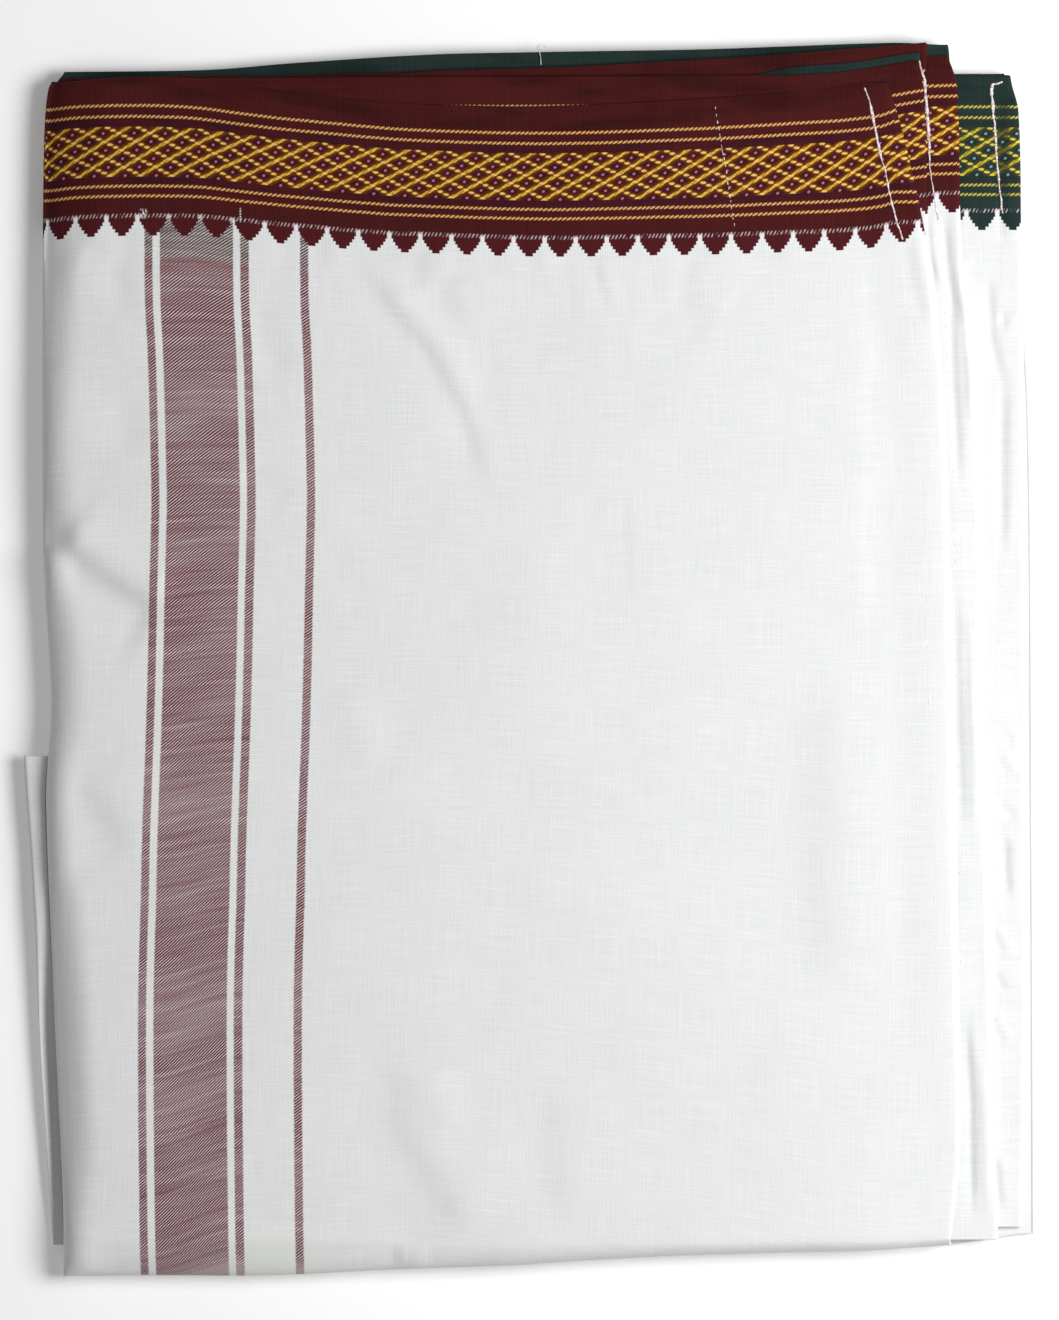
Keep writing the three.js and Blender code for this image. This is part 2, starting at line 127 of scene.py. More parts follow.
GREEN_TOP_SELVEDGE = [
    (-147.5, 183.8), (-102.8, 184.4), (-74.7, 186.6), (-30.9, 189.2), (3.4, 190),
    (53.4, 190.8), (115.9, 192.9), (130.9, 192.3),
]
BACK_SELVEDGE = [(-147.5, 181), (150, 183.4)]

# The front border's first gold line, and how far the border is squeezed across, by x.
FRONT_GOLD_LINE = [
    (-150, 171.9), (-142, 172.6), (-127.8, 173), (-115.3, 172.9), (-102.8, 172.2), (-90.3, 170.5),
    (-77.8, 169), (-65.3, 167.8), (-52.8, 166.6), (-40.3, 165.6), (-15.3, 164.6), (3.4, 164.3),
    (22.2, 164.6), (47.2, 165.5), (59.7, 166), (84.7, 167.5), (97.2, 168.3), (109.7, 169.8),
    (114, 171.3),
]
FRONT_SQUEEZE = [
    (-150, 1), (-115, 0.99), (-90, 0.96), (-52.8, 0.945), (-27.8, 0.935), (22, 0.945),
    (47, 0.957), (72, 0.972), (97, 0.99), (114, 1),
]
# How far the front's cross stripes sway to the right, by y.
STRIPE_SWAY = [
    (140, 0), (112, 0.2), (96.6, 1), (81, 1.5), (65.3, 1.9), (49.7, 2.2), (34, 1.9), (18.4, 1.5),
    (2.8, 1.2), (-12.8, 0.8), (-28.4, 0.3), (-44, -0.3), (-59.7, -0.8), (-75.3, -1.1),
    (-90.9, -1.6), (-106.6, -1.9), (-137.8, -1.9), (-169, -1.6), (-190, -1.3),
]

# ---- The border's woven bands, as distances from the selvedge ----
GOLD_LINES = (8.75, 12.2, 34.1, 37.2)
LATTICE_TOP = 14.8
LATTICE_ROW = 5.33
LATTICE_ROWS = 3
LATTICE_SHIFT = -4.8  # from a tooth's middle to the lattice's lowest points
LATTICE_LEAN = 0.155  # how far the lattice slants, for the way down it
TICK_LINE = 43.4
TOOTH_TOP = 44.3
TOOTH_PITCH = 9.71
TOOTH_STEP = 1.09
TOOTH_STEPS = 5
TOOTH_HALF_WIDTH = 4.2  # at its top step
TOOTH_NARROWING = 0.43  # of that half width at the first step
TOOTH_ROUNDING = 0.08  # how much more each step narrows than the one before, halved
# The front panel's cross stripes: where each starts, and its width.
STRIPES = [(-120.2, 2.5), (-115.4, 22.9), (-90.3, 2.7), (-71.6, 2.6)]


# ---- Curves and soft shapes ----
def curve(rows):
    """Reads (at, value) rows as a smooth curve through them, held level past its ends."""
    rows = sorted(rows)
    at = np.array([row[0] for row in rows], float)
    value = np.array([row[1] for row in rows], float)
    index = np.arange(len(at))
    before, after = np.maximum(index - 1, 0), np.minimum(index + 1, len(at) - 1)
    slope = (value[after] - value[before]) / (at[after] - at[before])

    def read(x):
        x = np.clip(x, at[0], at[-1])
        i = np.clip(np.searchsorted(at, x, side="right") - 1, 0, len(at) - 2)
        span = at[i + 1] - at[i]
        t = (x - at[i]) / span
        t2, t3 = t * t, t * t * t
        ends = (2 * t3 - 3 * t2 + 1) * value[i] + (3 * t2 - 2 * t3) * value[i + 1]
        slopes = (t3 - 2 * t2 + t) * slope[i] + (t3 - t2) * slope[i + 1]
        return ends + slopes * span

    return read


def level(value):
    """An outline that stays at one value."""
    return lambda at: np.full(np.shape(at), float(value))


def lerp(a, b, t):
    return a + (b - a) * t


def smooth(x, low, high):
    """0 below low, 1 above high and a soft rise between."""
    t = np.clip((x - low) / (high - low), 0, 1)
    return t * t * (3 - 2 * t)


def soft_noise(x, y, size, seed):
    """Soft bumps from -1 to 1, about size apart."""
    u, v = np.asarray(x, float) / size + 64, np.asarray(y, float) / size + 64
    table = np.random.RandomState(seed).uniform(-1, 1, (128, 128))
    i, j = np.floor(u).astype(int), np.floor(v).astype(int)
    fu, fv = u - i, v - j
    fu, fv = fu * fu * (3 - 2 * fu), fv * fv * (3 - 2 * fv)
    i, j = i % 127, j % 127
    low = lerp(table[i, j], table[i + 1, j], fu)
    high = lerp(table[i, j + 1], table[i + 1, j + 1], fu)
    return lerp(low, high, fv)


def wander(at, size, seed):
    """Soft noise along a line."""
    return soft_noise(at, at * 0, size, seed)


STEP_REACH = 4.0  # a crease's step has sides this many widths wide


def crease(x, y, path, width, height, step=0.0, fade=0.25):
    """A soft ridge, or a trough where height is negative, along a path of points.
    step lifts the cloth on the path's left and sinks it on its right, and dies out beyond."""
    best = np.full(np.shape(x), 1e9)
    side = np.zeros(np.shape(x))
    share = np.zeros(np.shape(x))
    points = np.array(path, float)
    lengths = np.linalg.norm(np.diff(points, axis=0), axis=1)
    total, run = lengths.sum(), 0.0
    for a, b, length in zip(points[:-1], points[1:], lengths):
        along = (b - a) / length
        rx, ry = x - a[0], y - a[1]
        t = np.clip(rx * along[0] + ry * along[1], 0, length)
        dx, dy = rx - t * along[0], ry - t * along[1]
        distance = np.hypot(dx, dy)
        nearer = distance < best
        best = np.where(nearer, distance, best)
        side = np.where(nearer, np.sign(along[0] * ry - along[1] * rx), side)
        share = np.where(nearer, (run + t) / total, share)
        run += length
    ends = smooth(share, 0, fade) * (1 - smooth(share, 1 - fade, 1))
    reach = best / width
    stepped = step * side * np.tanh(reach) * np.exp(-((reach / STEP_REACH) ** 2))
    return ends * (height * np.exp(-(reach**2)) + stepped)


def creased(x, y, creases):
    """The lift of a list of creases."""
    return sum((crease(x, y, path, *shape) for path, *shape in creases), np.zeros(np.shape(x)))


left_edge = curve(LEFT_EDGE)
front_right = curve(FRONT_RIGHT_EDGE)
back_right = curve(BACK_RIGHT_EDGE)
bottom_edge = curve(BOTTOM_EDGE)
bottom_roll = curve(BOTTOM_ROLL)
gold_line = curve(FRONT_GOLD_LINE)
squeeze = curve(FRONT_SQUEEZE)
sway = curve(STRIPE_SWAY)
back_selvedge = curve(BACK_SELVEDGE)


def front_selvedge(x):
    return gold_line(x) + GOLD_LINES[0] * squeeze(x)


def front_split(x):
    """Where the front's border and body meet, in plain cloth just past the teeth."""
    return front_selvedge(x) - BORDER_DEPTH * squeeze(x)


# ---- Grids of points on the cloth ----
class Stations:
    """Places across a stretch one way: an arc at each rolled end, and the flat between."""

    def __init__(self, shares, start_steps=0, end_steps=0):
        quarter = math.pi / 2
        start = np.arange(start_steps) / max(start_steps, 1) * quarter
        end = np.arange(end_steps)[::-1] / max(end_steps, 1) * quarter
        self.kind = np.r_[np.full(start_steps, -1), np.zeros(len(shares)), np.full(end_steps, 1)]
        self.angle = np.r_[start, np.full(len(shares), quarter), end]
        self.share = np.r_[np.zeros(start_steps), shares, np.ones(end_steps)]

    def place(self, start, end, start_roll, end_roll, axis):
        """(where each station lies between start and end, how far the cloth has dropped there)."""
        shape = (-1, 1) if axis == 0 else (1, -1)
        kind, angle, share = (a.reshape(shape) for a in (self.kind, self.angle, self.share))
        at = lerp(start + start_roll[0], end - end_roll[0], share)
        drop = np.zeros(np.shape(at))
        for sign, edge, (width, depth) in ((-1, start, start_roll), (1, end, end_roll)):
            at = np.where(kind == sign, edge - sign * width * (1 - np.cos(angle)), at)
            drop = np.where(kind == sign, depth * (1 - np.sin(angle)), drop)
        return at, drop


def arc_inset(width, rise):
    """How far in a round edge of this width has come, from rise 0 at its side to 1 at its top."""
    return width * (1 - math.sqrt(max(1 - rise**2, 0)))


NO_ROLL = (0.0, 0.0)


def panel(left, right, low, high, top, columns, rows, rolls=None, face_down=False):
    """The points of one stretch between four edges, with any edge rolled over."""
    rolls = rolls or {}
    left_roll, right_roll = rolls.get("left", NO_ROLL), rolls.get("right", NO_ROLL)
    low_width, low_drop = rolls.get("low", (level(0), 0.0))
    guess = lerp(left(0.0), right(0.0), columns.share).reshape(-1, 1)
    low_roll = (low_width(guess), low_drop)
    y, drop_y = rows.place(low(guess), high(guess), low_roll, NO_ROLL, 1)
    x, drop_x = columns.place(left(y), right(y), left_roll, right_roll, 0)
    deepest = max(left_roll[1], low_drop, 1.0)
    drop = drop_x + drop_y - drop_x * drop_y / deepest
    z = top + drop if face_down else top - drop
    return np.stack([x, y, z], axis=2)


def run_along(points, axis, zero):
    """The distance along the cloth in one direction, from the station numbered zero."""
    steps = np.linalg.norm(np.diff(points, axis=axis), axis=2)
    total = np.cumsum(steps, axis=axis)
    total = np.insert(total, 0, 0, axis=axis)
    return total - np.take(total, [zero], axis=axis)


def plan(points):
    """Where points lie, seen from above."""
    return points[..., 0], points[..., 1]


def unit(vectors):
    return vectors / np.maximum(np.linalg.norm(vectors, axis=-1, keepdims=True), 1e-9)


def normals_of(points):
    return unit(np.cross(np.gradient(points, axis=0), np.gradient(points, axis=1)))


def raised(points, height, facing=1):
    """The points moved out along the surface's normal."""
    return points + normals_of(points) * (np.asarray(height)[..., None] * facing)


# ---- Objects, materials and meshes ----
SHELL_SHARP = 42  # a shell's edges that turn by more degrees are sharp
BAKE_TOP, BAKE_UNDER, BAKE_RIM = (0.2, 0.99), (0.06, 0.18), (0.01, 0.04)


def placed(name, data):
    """A new object of the scene."""
    item = bpy.data.objects.new(name, data)
    bpy.context.scene.collection.objects.link(item)
    return item


def feed(node, inputs):
    """Gives some of a node's inputs, by name or number, a value, a socket or a Field."""
    for entry, value in inputs.items():
        value = getattr(value, "socket", value)
        if isinstance(value, bpy.types.NodeSocket):
            node.id_data.links.new(value, node.inputs[entry])
        else:
            node.inputs[entry].default_value = value


def add_node(tree, kind, inputs, **settings):
    node = tree.nodes.new("ShaderNode" + kind)
    for title, value in settings.items():
        setattr(node, title, value)
    feed(node, inputs)
    return node


def new_material(name):
    """(a new material, its node tree, its shader)."""
    material = bpy.data.materials.new(name)
    material.use_nodes = True
    return material, material.node_tree, material.node_tree.nodes["Principled BSDF"]


def new_piece(name, points, faces, material, maps=(), sharp=None):
    """One piece from points in millimetres. Each of its UV maps has a place per face corner."""
    mesh = bpy.data.meshes.new(name)
    mesh.from_pydata((points * MM).tolist(), [], faces)
    for title, values in maps:
        layer = mesh.uv_layers.new(name=title)
        layer.data.foreach_set("uv", values.astype(np.float32).ravel())
    mesh.shade_smooth()
    if sharp:
        mesh.set_sharp_from_angle(angle=math.radians(sharp))
    mesh.materials.append(material)
    piece = placed(name, mesh)
    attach(piece, "root")
    return piece


def as_cloth(piece, node, slot, flat):
    """Hides the CAD solid that the piece is shown for. slot, its material slot, and flat, its cut
    in metres, are not used.
    """
    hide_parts(node)
    return piece


def ring_faces(index):
    """The faces of a closed tube, from the numbers of its rings' points, with its two ends."""
    a, b = index[:-1], index[1:]
    sides = np.stack([a, np.roll(a, -1, axis=1), np.roll(b, -1, axis=1), b], axis=2)
    return sides.reshape(-1, 4).tolist() + [index[0][::-1].tolist(), index[-1].tolist()]


def quads(columns, rows, start=0, turn=False):
    """The faces of a grid of points, numbered column by column."""
    index = start + np.arange(columns * rows).reshape(columns, rows)
    a, b, c, d = index[:-1, :-1], index[1:, :-1], index[1:, 1:], index[:-1, 1:]
    order = (a, d, c, b) if turn else (a, b, c, d)
    return np.stack(order, axis=2).reshape(-1, 4)


def boundary(columns, rows):
    """The numbers of a grid's edge points, once round."""
    index = np.arange(columns * rows).reshape(columns, rows)
    return np.r_[index[:-1, 0], index[-1, :-1], index[:0:-1, -1], index[0, :0:-1]]


def shell(name, outer, flat, material, thickness=CLOTH, facing=1, seams=()):
    """A closed shell of cloth under a grid of points. Its rim is rounded except at its seams."""
    columns, rows = outer.shape[:2]
    normal = normals_of(outer) * facing
    inner = outer - normal * thickness
    outward = np.zeros_like(outer)
    for side, here, next_in in (
        ("left", np.s_[0], np.s_[1]), ("right", np.s_[-1], np.s_[-2]),
        ("low", np.s_[:, 0], np.s_[:, 1]), ("high", np.s_[:, -1], np.s_[:, -2]),
    ):
        if side not in seams:
            outward[here] += unit(outer[here] - outer[next_in])
    count = columns * rows
    rim = boundary(columns, rows)
    middle = (outer + inner).reshape(-1, 3)[rim] / 2
    middle = middle + outward.reshape(-1, 3)[rim] * thickness * 0.4
    points = np.concatenate([outer.reshape(-1, 3), inner.reshape(-1, 3), middle])
    turned = facing < 0
    top, under = quads(columns, rows, 0, turned), quads(columns, rows, count, not turned)
    size = len(rim)
    this, after = np.arange(size), (np.arange(size) + 1) % size
    mid = 2 * count
    upper = np.stack([rim[this], mid + this, mid + after, rim[after]], axis=1)
    lower = np.stack([mid + this, count + rim[this], count + rim[after], mid + after], axis=1)
    sides = np.concatenate([upper, lower])
    if turned:
        sides = sides[:, ::-1]
    faces = np.concatenate([top, under, sides])
    cloth = np.concatenate([flat.reshape(-1, 2)] * 2 + [flat.reshape(-1, 2)[rim]])
    bake = bake_layout(outer, top, under, count, size)
    maps = [("Cloth", cloth[faces.ravel()]), ("OFBake", bake)]
    return new_piece(name, points, faces.tolist(), material, maps, SHELL_SHARP)


def bake_layout(outer, top, under, count, size):
    """Where each face lies on the piece's baked picture: most of it is for the outer side."""
    columns, rows = outer.shape[:2]
    u = run_along(outer[:, [rows // 2]], 0, 0)[:, 0]
    v = run_along(outer[[columns // 2]], 1, 0)[0]
    u, v = 0.01 + 0.98 * u / u[-1], v / v[-1]
    grid_u, grid_v = np.meshgrid(u, v, indexing="ij")

    def strip(faces, start, span):
        corner = faces.ravel() - start
        return np.stack([grid_u.ravel()[corner], lerp(*span, grid_v.ravel()[corner])], axis=1)

    step = np.arange(size) / size
    next_step = (np.arange(size) + 1) / size
    ring = lerp(0.01, 0.99, np.stack([step, step, next_step, next_step], axis=1))
    low, high = BAKE_RIM
    half = (low + high) / 2
    around = [np.stack([ring.ravel(), np.tile([a, b, b, a], size)], axis=1)
              for a, b in ((high, half), (half, low))]
    return np.concatenate([strip(top, 0, BAKE_TOP), strip(under, count, BAKE_UNDER), *around])


# ---- Node materials ----
WHITE_REFLECTANCE = 0.8
WHITE_LEVEL = 240  # what a photograph shows that reflectance as


def linear(red, green, blue):
    """A colour as a photograph shows it under this light, as the shader's reflectance."""
    full = ((WHITE_LEVEL / 255 + 0.055) / 1.055) ** 2.4
    channels = [((c / 255 + 0.055) / 1.055) ** 2.4 if c > 10 else c / 255 / 12.92
                for c in (red, green, blue)]
    return (*(c / full * WHITE_REFLECTANCE for c in channels), 1.0)


def operator(operation):
    return lambda self, other: self.math(operation, other)


class Field:
    """A number that varies over the cloth. Arithmetic on it adds Math nodes to its tree."""

    __add__, __sub__ = operator("ADD"), operator("SUBTRACT")
    __mul__, __truediv__ = operator("MULTIPLY"), operator("DIVIDE")

    def __init__(self, tree, socket):
        self.tree = tree
        self.socket = socket

    def math(self, operation, *others):
        inputs = dict(enumerate((self, *others)))
        node = add_node(self.tree, "Math", inputs, operation=operation)
        return Field(self.tree, node.outputs[0])

    def __neg__(self):
        return self * -1.0

    def off(self, period):
        """The distance to the nearest multiple of period."""
        return self.math("PINGPONG", period / 2)

    def wrapped(self, period):
        """The signed distance to the nearest multiple of period."""
        return self.math("WRAP", period / 2, -period / 2)

    def either(self, other):
        return self.math("MAXIMUM", other)

    def over(self, limit, soft):
        """1 where the field is well over limit and 0 where it is well under."""
        inputs = {"Value": self, "From Min": limit - soft, "From Max": limit + soft}
        node = add_node(self.tree, "MapRange", inputs, interpolation_type="SMOOTHSTEP")
        return Field(self.tree, node.outputs["Result"])

    def under(self, limit, soft):
        return -self.over(limit, soft) + 1.0

    def between(self, low, high, soft):
        return self.over(low, soft) * self.under(high, soft)


def any_of(fields):
    """1 where one of the fields is 1."""
    return functools.reduce(Field.either, fields)


def mixed(tree, share, a, b, blend="MIX"):
    """Colour a where share is 0 and colour b where it is 1."""
    inputs = {"Factor": share, 6: a, 7: b}
    return add_node(tree, "Mix", inputs, data_type="RGBA", blend_type=blend).outputs[2]


class Weave:
    """A cloth's node tree, with its flat coordinates: s along it and t from the selvedge."""

    def __init__(self, name, s_shift=0.0, lattice_shift=LATTICE_SHIFT, stretched=False, early=0.0):
        self.material, self.tree, self.shader = new_material(name)
        flat = add_node(self.tree, "UVMap", {}, uv_map="Cloth")
        split = add_node(self.tree, "SeparateXYZ", {0: flat.outputs["UV"]})
        self.s = Field(self.tree, split.outputs["X"]) - s_shift
        self.t = Field(self.tree, split.outputs["Y"])
        self.ending = self.t + early  # its ticks and teeth come this much nearer the selvedge
        self.lattice_shift = lattice_shift
        self.stretched = self.s.under(*STRETCHED) if stretched else 0.0

    def grain(self, s_size, t_size, seed, detail=2.0, rough=0.5):
        """Noise from 0 to 1 whose blotches are s_size by t_size."""
        at = {"X": self.s / s_size, "Y": self.t / t_size, "Z": seed}
        place = add_node(self.tree, "CombineXYZ", at).outputs[0]
        inputs = {"Vector": place, "Scale": 1.0, "Detail": detail, "Roughness": rough}
        return Field(self.tree, add_node(self.tree, "TexNoise", inputs).outputs["Fac"])

    def mix(self, *values):
        return mixed(self.tree, *values)

    def shade(self, colour, amount):
        """The colour made lighter or darker by a field around 1."""
        inputs = {0: colour, "Scale": amount}
        return add_node(self.tree, "VectorMath", inputs, operation="SCALE").outputs[0]

    def finish(self, colour, height, relief, roughness=0.88, sheen=0.1, specular=0.2):
        """Sets the shader. height is in millimetres."""
        bump = add_node(self.tree, "Bump", {"Strength": relief, "Distance": MM, "Height": height})
        feed(self.shader, {
            "Base Color": colour, "Normal": bump.outputs[0], "Roughness": roughness,
            "Specular IOR Level": specular, "Sheen Weight": sheen, "Sheen Roughness": 0.5,
        })
        return self.material


WHITE = linear(236, 236.5, 236.5)
WHITE_SHADE = linear(225, 226, 226)
# a yellow-green grey, painted as shade on the front's bottom facet
FACET_PAINTED_SHADE = linear(227, 230, 222)
# The borders' colours. gold: a line's darker part, a rope's marks, a line's painted highlight, a
# painted glint.
MAROON = dict(
    ground=linear(71, 22, 22), deep=linear(58, 17, 30), tooth=linear(78, 24, 29),
    copper=linear(108, 54, 10), dot=linear(196, 128, 150),
    gold=(linear(186, 134, 24), linear(224, 172, 106), linear(236, 194, 82),
          linear(246, 206, 136)),
)
GREEN = dict(
    ground=linear(36, 52, 49), deep=linear(32, 44, 40), tooth=linear(34, 50, 48),
    copper=linear(66, 68, 36), dot=linear(140, 176, 176),
    gold=(linear(150, 134, 24), linear(196, 180, 84), linear(210, 194, 66),
          linear(226, 214, 106)),
)
STRIPE_DARK = linear(78, 34, 40)
STRIPE_LIGHT = linear(236, 214, 218)
THREAD = linear(236, 224, 228)
WARP = 0.42  # the spacing of the cloth's threads
FACET = 384.5  # the front's bottom facet starts this far from the selvedge at s = 0
FACET_LEAN = 0.112
LATTICE_BEAD = 1.46  # the lattice's lines swell and shrink this often
TICK_PITCH = 1.15
STRETCHED = (-95.0, 18.0)  # the teeth stand 1 mm further left, well left of this
RIB = 0.74  # the spacing of the border's ribs
TWILL = 0.96  # the stripes' diagonal lines, measured up the cloth
TWILL_LEAN = 0.71
STRIPE_HEAD = 56.8  # down to here the stripes are greyer, and just below they are densest
STRIPE_DENSE = 4.5  # how far down the densest part reaches
RISERS = (-90.2, -120.6)  # the threads and the block of light threads above two stripes
RISE_END = 44.0


def plain_weave(w):
    """(the white cloth's colour, its height): fine threads both ways, with slubs."""
    threads = (w.s + w.grain(9, 60, 3) * 1.5).off(WARP) + (w.t + w.grain(60, 9, 4) * 1.5).off(WARP)
    across = w.grain(16, 0.55, 5.0, 2, 0.6)
    upright = w.grain(0.55, 18, 6.0, 2, 0.6)
    cloud = w.grain(26, 30, 7.0, 3)
    tone = across * 0.5 + upright * 0.38 + cloud * 0.12
    colour = w.mix(tone.over(0.5, 0.2), WHITE_SHADE, WHITE)
    thin = across.over(0.66, 0.05) * 0.5 + upright.over(0.67, 0.05) * 0.4
    colour = w.mix(thin * 0.4, colour, linear(246, 246, 246))
    return colour, threads * 0.2 + across * 0.09 + upright * 0.08


def cross_stripes(w, colour):
    """The colour with the front panel's twill stripes over it."""
    lines = (w.t + w.s * TWILL_LEAN + w.grain(30, 6, 12.0) * 0.8).off(TWILL)
    ragged = w.grain(1.2, 0.9, 14.0, 1) * 0.5 - 0.25
    where = any_of(
        ((w.s - (start + width / 2)).math("ABSOLUTE") + ragged).under(width / 2, 0.28)
        for start, width in STRIPES
    )
    bands = w.grain(34, 1.9, 16.0, 4, 0.62)
    bands = bands + w.t.between(STRIPE_HEAD, STRIPE_HEAD + STRIPE_DENSE, 1.5) * 0.1
    dark = (lines + bands * 0.5 - 0.25).over(0.12, 0.06)
    tint = w.mix(bands.over(0.52, 0.16), STRIPE_DARK, linear(118, 74, 80))
    head = w.t.under(STRIPE_HEAD, 1.2) * 0.8
    tint = w.mix(head, tint, linear(82, 74, 74))
    twill = w.mix(dark, w.mix(head, STRIPE_LIGHT, linear(226, 220, 212)), tint)
    faded = w.grain(50, 22, 18.0, 2).over(0.6, 0.25) * 0.22
    faded = faded.either((w.t - w.s * FACET_LEAN).over(FACET + 8.0, 2.5) * 0.4)
    twill = w.mix(faded, twill, linear(214, 200, 202))
    return w.mix(where, colour, twill), where


def ellipse(dx, dy, length, width, soft=0.5):
    """A soft spot, from its offsets and half sizes."""
    return ((dx / length) * (dx / length) + (dy / width) * (dy / width)).under(1.0, soft)


def rope(w, line, slant=0.5, pitch=1.46):
    """(marks, ground) of a gold line: short slanted threads like a twisted cord's."""
    off = w.t - line + w.grain(7, 50, line + 2.0) * 0.24 - 0.12
    dx = (w.s + w.grain(4, 50, line) * 1.4).wrapped(pitch)
    marks = ellipse(dx, off + dx * slant, 0.82, 0.34)
    return marks, off.math("ABSOLUTE").under(0.52, 0.25)


def lattice(w):
    """(gold, dots, beads, core, halo): diamonds of unbroken lines one way and beads the other."""
    lowest = LATTICE_TOP + LATTICE_ROW * LATTICE_ROWS
    p = (w.s - w.lattice_shift - (w.t - lowest) * LATTICE_LEAN) / TOOTH_PITCH
    q = (w.t - lowest) / LATTICE_ROW
    a, b = p + q, p - q
    beads = (w.s + w.t * 0.9).off(LATTICE_BEAD)
    wave = w.grain(2, 0.9, 22.0, 1) * 0.09 - 0.045
    unbroken = ((a + wave).off(1.0) + beads * 0.03).under(0.1, 0.035)
    da, db = a.wrapped(1 / 3), b.wrapped(1.0)
    dx = (da + db) * (TOOTH_PITCH / 2)
    dy = (da - db) * (LATTICE_ROW / 2)
    short = ellipse(dx, dy, 0.94, 0.47, 0.5)
    core = ellipse(dx, dy, 0.7, 0.3, 0.6)
    rows = q + LATTICE_ROWS
    within = rows.between(0.12, LATTICE_ROWS + 0.06, 0.03)
    lines = unbroken.either(short) * within
    halo = a.off(1.0).under(0.24, 0.1).either(ellipse(dx, dy, 1.5, 0.95, 0.6)) * within
    ca, cb = (a + 0.5).wrapped(1.0), (b + 0.5).wrapped(1.0)
    cx = (ca + cb) * (TOOTH_PITCH / 2)
    cy = (ca - cb) * (LATTICE_ROW / 2) + cx * 0.3
    dots = ellipse(cx, cy, 0.46, 0.4, 0.6)
    return lines, dots * rows.between(0.3, LATTICE_ROWS + 0.2, 0.05), beads, core, halo


def teeth(w):
    """(stepped triangles that end the border, the distance along it from their middles)."""
    depth = (w.ending - TOOTH_TOP) / TOOTH_STEP
    steps = (depth + w.grain(1.6, 1.6, 31.0, 1) * 0.4 - 0.2).math("FLOOR").math("MAXIMUM", 0.0)
    half = steps * -TOOTH_NARROWING + TOOTH_HALF_WIDTH - steps * steps * TOOTH_ROUNDING
    middle = (w.s + w.stretched).off(TOOTH_PITCH)
    return (middle - half).under(0.0, 0.16) * depth.under(TOOTH_STEPS, 0.1), middle


def ticks(w, middle):
    """The white threads between the border and its teeth, thickest between two teeth."""
    off = w.ending - TICK_LINE + w.grain(2.2, 30, 33.0, 1) * 0.5 - 0.25
    threads = (w.s + off * 0.5 + w.grain(1.4, 30, 35.0, 1) * 0.5).off(TICK_PITCH)
    gap = middle.over(TOOTH_PITCH / 2 - 0.7, 0.35)
    strength = gap * 0.35 + w.grain(0.9, 9, 53.0, 1).over(0.45, 0.13) * 0.65
    tall = off.math("ABSOLUTE").under(0.62, 0.3)
    tuft = gap * off.between(-0.3, 0.9, 0.35) * w.grain(0.5, 0.5, 37.0, 1).over(0.4, 0.12)
    return (threads.under(0.2, 0.14) * tall * strength).either(tuft * 0.8)


def risers(w):
    """The light threads of two stripes, where they come up into the border."""
    line, patch = ((w.s - at).math("ABSOLUTE") for at in RISERS)
    dotted = line.under(0.2, 0.14) * w.t.between(RISE_END - 4.4, RISE_END, 0.4)
    dotted = dotted * w.t.off(0.9).under(0.26, 0.14)
    block = patch.under(1.1, 0.4) * w.t.between(RISE_END - 2.4, RISE_END, 0.7)
    block = block * w.grain(0.5, 1.6, 63.0, 1).over(0.5, 0.1)
    return dotted.either(block)


def border_weave(name, ground, deep, tooth, gold, copper, dot, stripes=False, painted_shade_span=None, **shifts):
    """The selvedge border's cloth, down to the plain cloth past its teeth.
    A given span along the cloth darkens its gold there with painted shade."""
    w = Weave(name, **shifts)
    white, plain_height = plain_weave(w)
    if stripes:
        white, _ = cross_stripes(w, white)
    ribs = (w.s + w.grain(20, 80, 41.0) * 2.0).off(RIB) / RIB * 2.0
    slubs = w.grain(0.9, 30, 43.0, 3, 0.6)
    picks = w.grain(24, 0.7, 45.0, 2, 0.6)
    cloud = w.grain(40, 14, 47.0, 3)
    tone = ribs * 0.3 + slubs * 0.6 + picks * 0.25 + cloud * 0.6 + 0.13
    inner = w.t.between(11.0, 35.0, 1.5) * w.grain(14, 3, 49.0, 2).over(0.5, 0.2)
    # painted shade: soft dark blotches near the selvedge, where its waves would shade it
    painted_shade_blots = w.grain(46, 9, 57.0, 2).over(0.54, 0.1) * w.t.under(7.5, 2.5)
    body = w.shade(w.mix(inner, ground, deep), tone - painted_shade_blots * 0.34)
    marks, under = map(any_of, zip(*(rope(w, line) for line in GOLD_LINES)))
    lines, dots, beads, core, halo = lattice(w)
    # painted shade on the gold lines, lattice and rope marks within the given span
    if painted_shade_span:
        lit = -w.s.between(*painted_shade_span, 0.7) * 0.8 + 1.0
        marks, lines, core = marks * lit, lines * lit, core * lit
    # painted highlight along the gold lines, and a painted glint on their cores
    painted_shine = (w.grain(1.6, 0.5, 51.0, 1) - beads * 0.5).over(0.36, 0.2)
    for share, colour in (
        (under * 0.6, copper), (marks * 0.95, gold[1]), (halo * 0.75, copper), (dots * 0.75, dot),
        (lines, w.mix(painted_shine, gold[0], gold[2])), (core * lines * 0.7, gold[3]),
    ):
        body = w.mix(share, body, colour)
    toothed, middle = teeth(w)
    tooth_colour = w.shade(tooth[:3], slubs * 0.5 + ribs * 0.2 + 0.62)
    below = w.mix(toothed, white, tooth_colour)
    edge = w.ending + w.grain(1.1, 9, 55.0, 1) * 0.5 - 0.25
    colour = w.mix(edge.over(TICK_LINE + 0.1, 0.25), body, below)
    light = ticks(w, middle).either(risers(w)) if stripes else ticks(w, middle)
    colour = w.mix(light, colour, THREAD)
    raised_threads = marks.either(lines) * 0.22
    height = plain_height * 0.6 + ribs * 0.05 + raised_threads + picks * 0.05
    return w.finish(colour, height, 0.5, 0.8, 0.02, 0.08)


